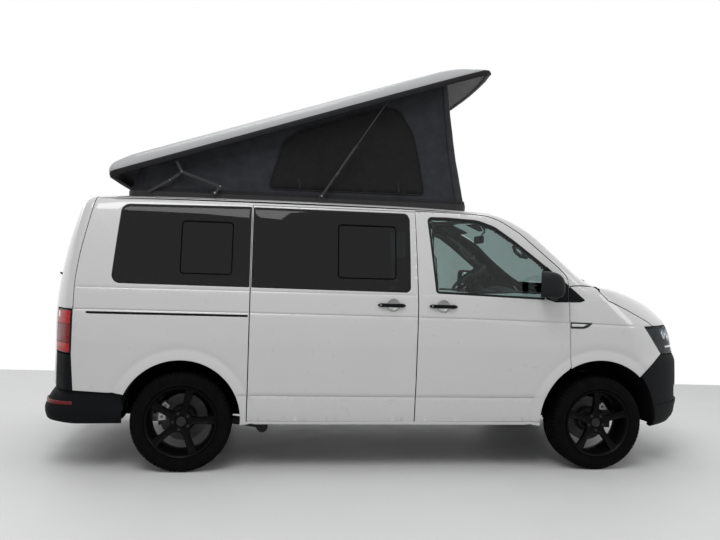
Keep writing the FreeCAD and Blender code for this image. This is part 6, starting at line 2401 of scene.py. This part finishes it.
def door_trim():
    window = side_outline(DOOR_WINDOW)
    leaf = side_outline([(230, 420, 30), (240, 1240, 20), (1236, 1216, 20), (1240, 870, 60),
                               (1130, 780, 90), (1060, 640, 90), (1010, 420, 30)])
    for name, _, flip in SIDES:
        body = f"front_{name}_door"
        strip_ring(f"{name}_door_inner_frame", HOOP, grown(window, 22), 34, body, "lining_grey",
                   "white_paint", flip, 46, 12)
        panel(f"{name}_door_lining", HOOP, leaf, body, ["cabin_trim"] * 2, "white_paint", thick=14,
              sink=47, pitch=26, mirror=flip)
        rest = soft_box((430, 62, 40), 16, (560, -845, 960), 4)
        pull = tube([(700, -832, 990), (730, -818, 1040), (740, -826, 1100)], [11, 10, 9])
        pocket = soft_box((620, 40, 150), 16, (600, -852, 520), 4)
        speaker = lathe([(0, 0), (78, 0), (80, 5), (70, 9), (30, 7), (0, 11)], 40)
        assembly(f"{name}_door_fittings", [part(rest), part(pull), part(pocket),
                                           part(speaker, 1, (985, -858, 710))],
                 ["cabin_trim", "rough_plastic"], body, "white_paint", mirror=flip)


def lining():
    hole = rounded(HATCH)
    sheet_outline = rounded([(-2030, -690, 40), (640, -690, 40), (700, -300, 200), (700, 300, 200),
                             (640, 690, 40), (-2030, 690, 40)])
    panel("headlining", TOP, sheet_outline, "van_body", ["lining_grey"] * 2, "cabin_trim",
          holes=[grown(hole, 6)], thick=8, sink=34, pitch=40)
    strip_ring("hatch_edge_trim", TOP, grown(hole, 4), 26, "van_body", "cabin_trim", "cabin_trim",
               False,
               -3, 44)
    mirror_box = soft_box((24, 230, 66), 16, (880, 0, 1706), 4)
    stem = tube([(886, 0, 1720), (915, 0, 1762), (930, 0, 1778)], [7, 6, 10])
    assembly("cabin_mirror", [part(mirror_box), part(stem)], "cabin_trim", "van_body",
             "cabin_trim")
    for name, sign, _ in SIDES:
        rounded_block(f"{name}_sun_visor", (150, 400, 18), 8, (760, sign * 380, 1800),
                      "lining_grey",
                      "van_body", "cabin_trim", steps=4, turn=turn_y(24))
        grab = tube([(925, sign * 752, 1668), (926, sign * 728, 1634), (948, sign * 716, 1592),
                     (990, sign * 712, 1560), (1036, sign * 718, 1552), (1062, sign * 734, 1572),
                     (1066, sign * 760, 1588)], [13, 13, 14, 14, 14, 13, 13], 14)
        solid(f"{name}_grab_handle", grab, "lining_grey", "van_body", "cabin_trim")
        pillar = [side_points([(x, z)])[0] * [1, sign * -1, 1] for x, z in
                  ((1255, 1420), (1180, 1492), (1060, 1600), (930, 1700), (800, 1780))]
        trim_line = tube([p + np.array([-4, -sign * 62, -22]) for p in pillar],
                         [20, 24, 26, 26, 22], 14)
        solid(f"{name}_pillar_trim", trim_line, "lining_grey", "van_body", "cabin_trim")


# ----------------------------------------------------------------------------------------
# Engine bay and underbody
# ----------------------------------------------------------------------------------------
def engine():
    parts = [part(soft_box((560, 470, 330), 26, (1634, 0, 565), 4)),
             part(soft_box((430, 330, 60), 20, (1634, 0, 415), 3)),
             part(soft_box((470, 380, 120), 24, (1634, 0, 780), 4), 1)]
    parts += [part(soft_box((8, 440, 250), 3, (1380 + 84 * k, 0, 570), 1)) for k in range(7)]
    parts.append(part(soft_box((430, 400, 46), 20, (1634, 0, 862), 5, 4), 2))
    parts += [part(soft_box((360, 12, 10), 4, (1634, -130 + 65 * k, 889), 2), 2) for k in range(5)]
    for y, z, r in ((180, 640, 78), (-40, 520, 92), (-170, 690, 48)):
        pulley = lathe([(0, -16), (r, -16), (r, -12), (r - 6, -9), (r - 6, 9), (r, 12), (r, 16),
                        (r * 0.8, 16), (r * 0.7, 6), (r * 0.3, 6), (r * 0.25, 14), (0, 14)], 40)
        parts.append(part(pulley, 3, (1926, y, z), turn_z(-90)))
    hose = tube([(1800, 200, 800), (1880, 230, 830), (1990, 215, 815), (2100, 150, 770)],
                [26, 28, 28, 26], 18)
    parts.append(part(hose, 2))
    assembly("engine_detail", parts, ["rough_iron", "cast_alloy", "rough_plastic", "bolt_steel"],
             "van_body", "cast_metal", ["engine_block"])
    battery = soft_box((240, 175, 175), 10, (1640, 420, 880), 3)
    air_box = soft_box((260, 220, 170), 24, (1880, -400, 900), 4)
    duct = tube([(1820, -340, 930), (1760, -240, 930), (1700, -190, 900)], [42, 40, 36], 20)
    bottle = soft_box((150, 130, 120), 30, (1960, 420, 930), 4)
    post = lathe([(0, 0), (10, 0), (9, 18), (0, 19)], 20)
    parts = [part(battery), part(air_box), part(duct), part(bottle, 2)]
    parts += [part(post, 1, (1560, y, 967), turn_x(90)) for y in (380, 460)]
    assembly("engine_bay_fittings", parts, ["rough_plastic", "bolt_steel", "lining_grey"],
             "van_body",
             "cast_metal")
    parts = [part(soft_box((46, 720, 430), 8, (2235, 0, 690), 2))]
    parts += [part(soft_box((4, 690, 4), 1, (2210, 0, 500 + 26 * k), 1), 1) for k in range(15)]
    assembly("radiator", parts, ["rough_iron", "bolt_steel"], "van_body", "cast_metal")


CAD_LOOKS = {
    "wheel_boxes": "undercoat", "floor_pan": "vinyl_floor", "bulkhead": "undercoat",
    "chassis_rails": "undercoat",
    "fuel_tank": "rough_plastic", "exhaust": "exhaust_steel", "rear_axle": "rough_iron",
    "left_knuckle": "rough_iron", "right_knuckle": "rough_iron", "roof_frame": "roof_rail_black",
    "roof_lift_arms": "black_steel", "roof_rear_links": "black_steel",
    # Painted shade: the strut rods are bright steel on the real van; the near-black steel here
    # paints in how dark they look.
    "roof_strut_tubes": "black_steel", "roof_strut_rods": "black_steel",
}


def dress_cad():
    """Gives the carried-over construction pieces their own procedural materials."""
    for name, material in CAD_LOOKS.items():
        for slot_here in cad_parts[name].material_slots:
            slot_here.material = MATERIALS[material]


def suspension():
    for name, side, _ in SIDES[::-1]:
        for end, x, y, low, high, radius, turns in (("front", FRONT_AXLE, 560, 430, 700, 62, 5),
                                                    ("rear", -1300, 470, 300, 420, 52, 4)):
            ts = np.linspace(0, turns * 2 * math.pi, turns * 20)
            line = [(x + radius * math.cos(t), side * y + radius * math.sin(t),
                     low + (high - low) * t / ts[-1]) for t in ts]
            solid(f"{end}_{name}_spring", tube(line, 7, 8), "black_steel", "van_body",
                  "cast_metal")


# ----------------------------------------------------------------------------------------
# Pop-up roof fittings
# ----------------------------------------------------------------------------------------
def pin_head(place, radius, side):
    proud = 5
    head = lathe([(0, 0), (radius, 0), (radius, proud * 0.6), (radius * 0.7, proud), (0, proud)],
                 20)
    return part(head, 0, place, np.diag([1, side, 1]))


def roof_fittings():
    for name, side, _ in SIDES[::-1]:
        for body, label, spots, radius in (
                ("roof_lift_arms", "arm_bolts", ((-1250, 1980), (-1519, 2072)), 6),
                ("van_body", "arm_foot_bolt", ((-1286, 1932), (-528, 1944)), 8),
                ("roof_rear_links", "link_bolts", ((-1600, 2011), (-1522, 2071)), 5)):
            y = side * (738 if body == "roof_rear_links" else 756)
            assembly(f"{name}_{label}", [pin_head((x, y, z), radius, side) for x, z in spots],
                     "bolt_steel", body, "bright_steel")
        ring = lathe([(6.3, 0), (12.6, 0), (12.6, 14), (7.5, 16), (6.3, 16), (6.3, 0)], 24)
        foot, head = np.array([-528.0, side * 752, 1944.0]), np.array([-42.0, side * 752, 2683.0])
        line = (head - foot) / np.linalg.norm(head - foot)
        across = np.array([0.0, 1.0, 0.0])
        basis = np.column_stack([np.cross(line, across), line, across])
        band = lathe([(10.6, 0), (11.4, 0), (11.4, 70), (10.6, 70), (10.6, 0)], 24)
        assembly(f"{name}_strut_collar", [part(ring, 0, foot + line * 430, basis),
                                          part(band, 1, foot + line * 150, basis)],
                 ["black_steel", "lamp_dark"], "roof_strut_tubes", "bright_steel")


front_seat("right", -420, ["front_seats"])
front_seat("left", 420, [])
rear_bench()
settle_cushions()
dashboard()
steering_wheel()
kitchen()
door_trim()
lining()
engine()
dress_cad()
suspension()
roof_fittings()


# ----------------------------------------------------------------------------------------
# Studio
# ----------------------------------------------------------------------------------------


def studio():
    scene = bpy.context.scene
    scene.view_settings.view_transform = "Standard"
    world = bpy.data.worlds.new("studio")
    scene.world = world
    world.use_nodes = True
    nodes, links = world.node_tree.nodes, world.node_tree.links
    nodes.clear()
    path = nodes.new("ShaderNodeLightPath")
    backdrop = nodes.new("ShaderNodeBackground")
    backdrop.inputs["Strength"].default_value = 1.0
    backdrop.inputs["Color"].default_value = (1, 1, 1, 1)
    fill = nodes.new("ShaderNodeBackground")
    fill.inputs["Color"].default_value = (0.98, 0.99, 1, 1)
    fill.inputs["Strength"].default_value = 0.45
    mix = nodes.new("ShaderNodeMixShader")
    out = nodes.new("ShaderNodeOutputWorld")
    first_two, seen = nodes.new("ShaderNodeMath"), nodes.new("ShaderNodeMath")
    first_two.operation = seen.operation = "MAXIMUM"
    links.new(path.outputs["Is Camera Ray"], first_two.inputs[0])
    links.new(path.outputs["Is Transmission Ray"], first_two.inputs[1])
    links.new(first_two.outputs[0], seen.inputs[0])
    links.new(path.outputs["Is Glossy Ray"], seen.inputs[1])
    links.new(seen.outputs[0], mix.inputs[0])
    links.new(fill.outputs[0], mix.inputs[1])
    links.new(backdrop.outputs[0], mix.inputs[2])
    links.new(mix.outputs[0], out.inputs[0])
    floor = bpy.data.meshes.new("floor")
    floor.from_pydata([(-9, -9, 0), (12, -9, 0), (12, 2.6, 0), (-9, 4.2, 0)], [], [(0, 1, 2, 3)])
    surface("floor", (0.70, 0.70, 0.70), 0.55, tint=0.01, patch=1.0)
    floor.materials.append(MATERIALS["floor"])
    ground = bpy.data.objects.new("floor", floor)
    scene.collection.objects.link(ground)
    for name, place, energy, width in (("key", (-2.0, -5.5, 7.5), 270, 4),
                                       ("over", (0, 1, 8), 190, 7),
                                       ("front", (7, -4, 4.5), 70, 3),
                                       ("back", (-6, 4, 5), 60, 4)):
        light = bpy.data.lights.new(name, "AREA")
        light.energy, light.size = energy, width
        lamp = bpy.data.objects.new(name, light)
        lamp.location = place
        lamp.rotation_euler = (Vector((0, 0, 1)) - Vector(place)).to_track_quat("-Z",
                                                                                "Y").to_euler()
        scene.collection.objects.link(lamp)


def camera():
    yaw, roll = math.radians(7.66), math.radians(1.76)
    forward = Vector((math.sin(yaw), math.cos(yaw), 0))
    right = Vector((math.cos(yaw), -math.sin(yaw), 0))
    up = right.cross(forward)
    across = right * math.cos(roll) + up * math.sin(roll)
    above = up * math.cos(roll) - right * math.sin(roll)
    data = bpy.data.cameras.new("view")
    data.lens = 35.89
    obj = bpy.data.objects.new("view", data)
    basis = Matrix((across, above, -forward)).transposed().to_4x4()
    obj.matrix_world = Matrix.Translation((-0.929, -5.925, 1.419)) @ basis
    bpy.context.scene.collection.objects.link(obj)
    bpy.context.scene.camera = obj


studio()
camera()
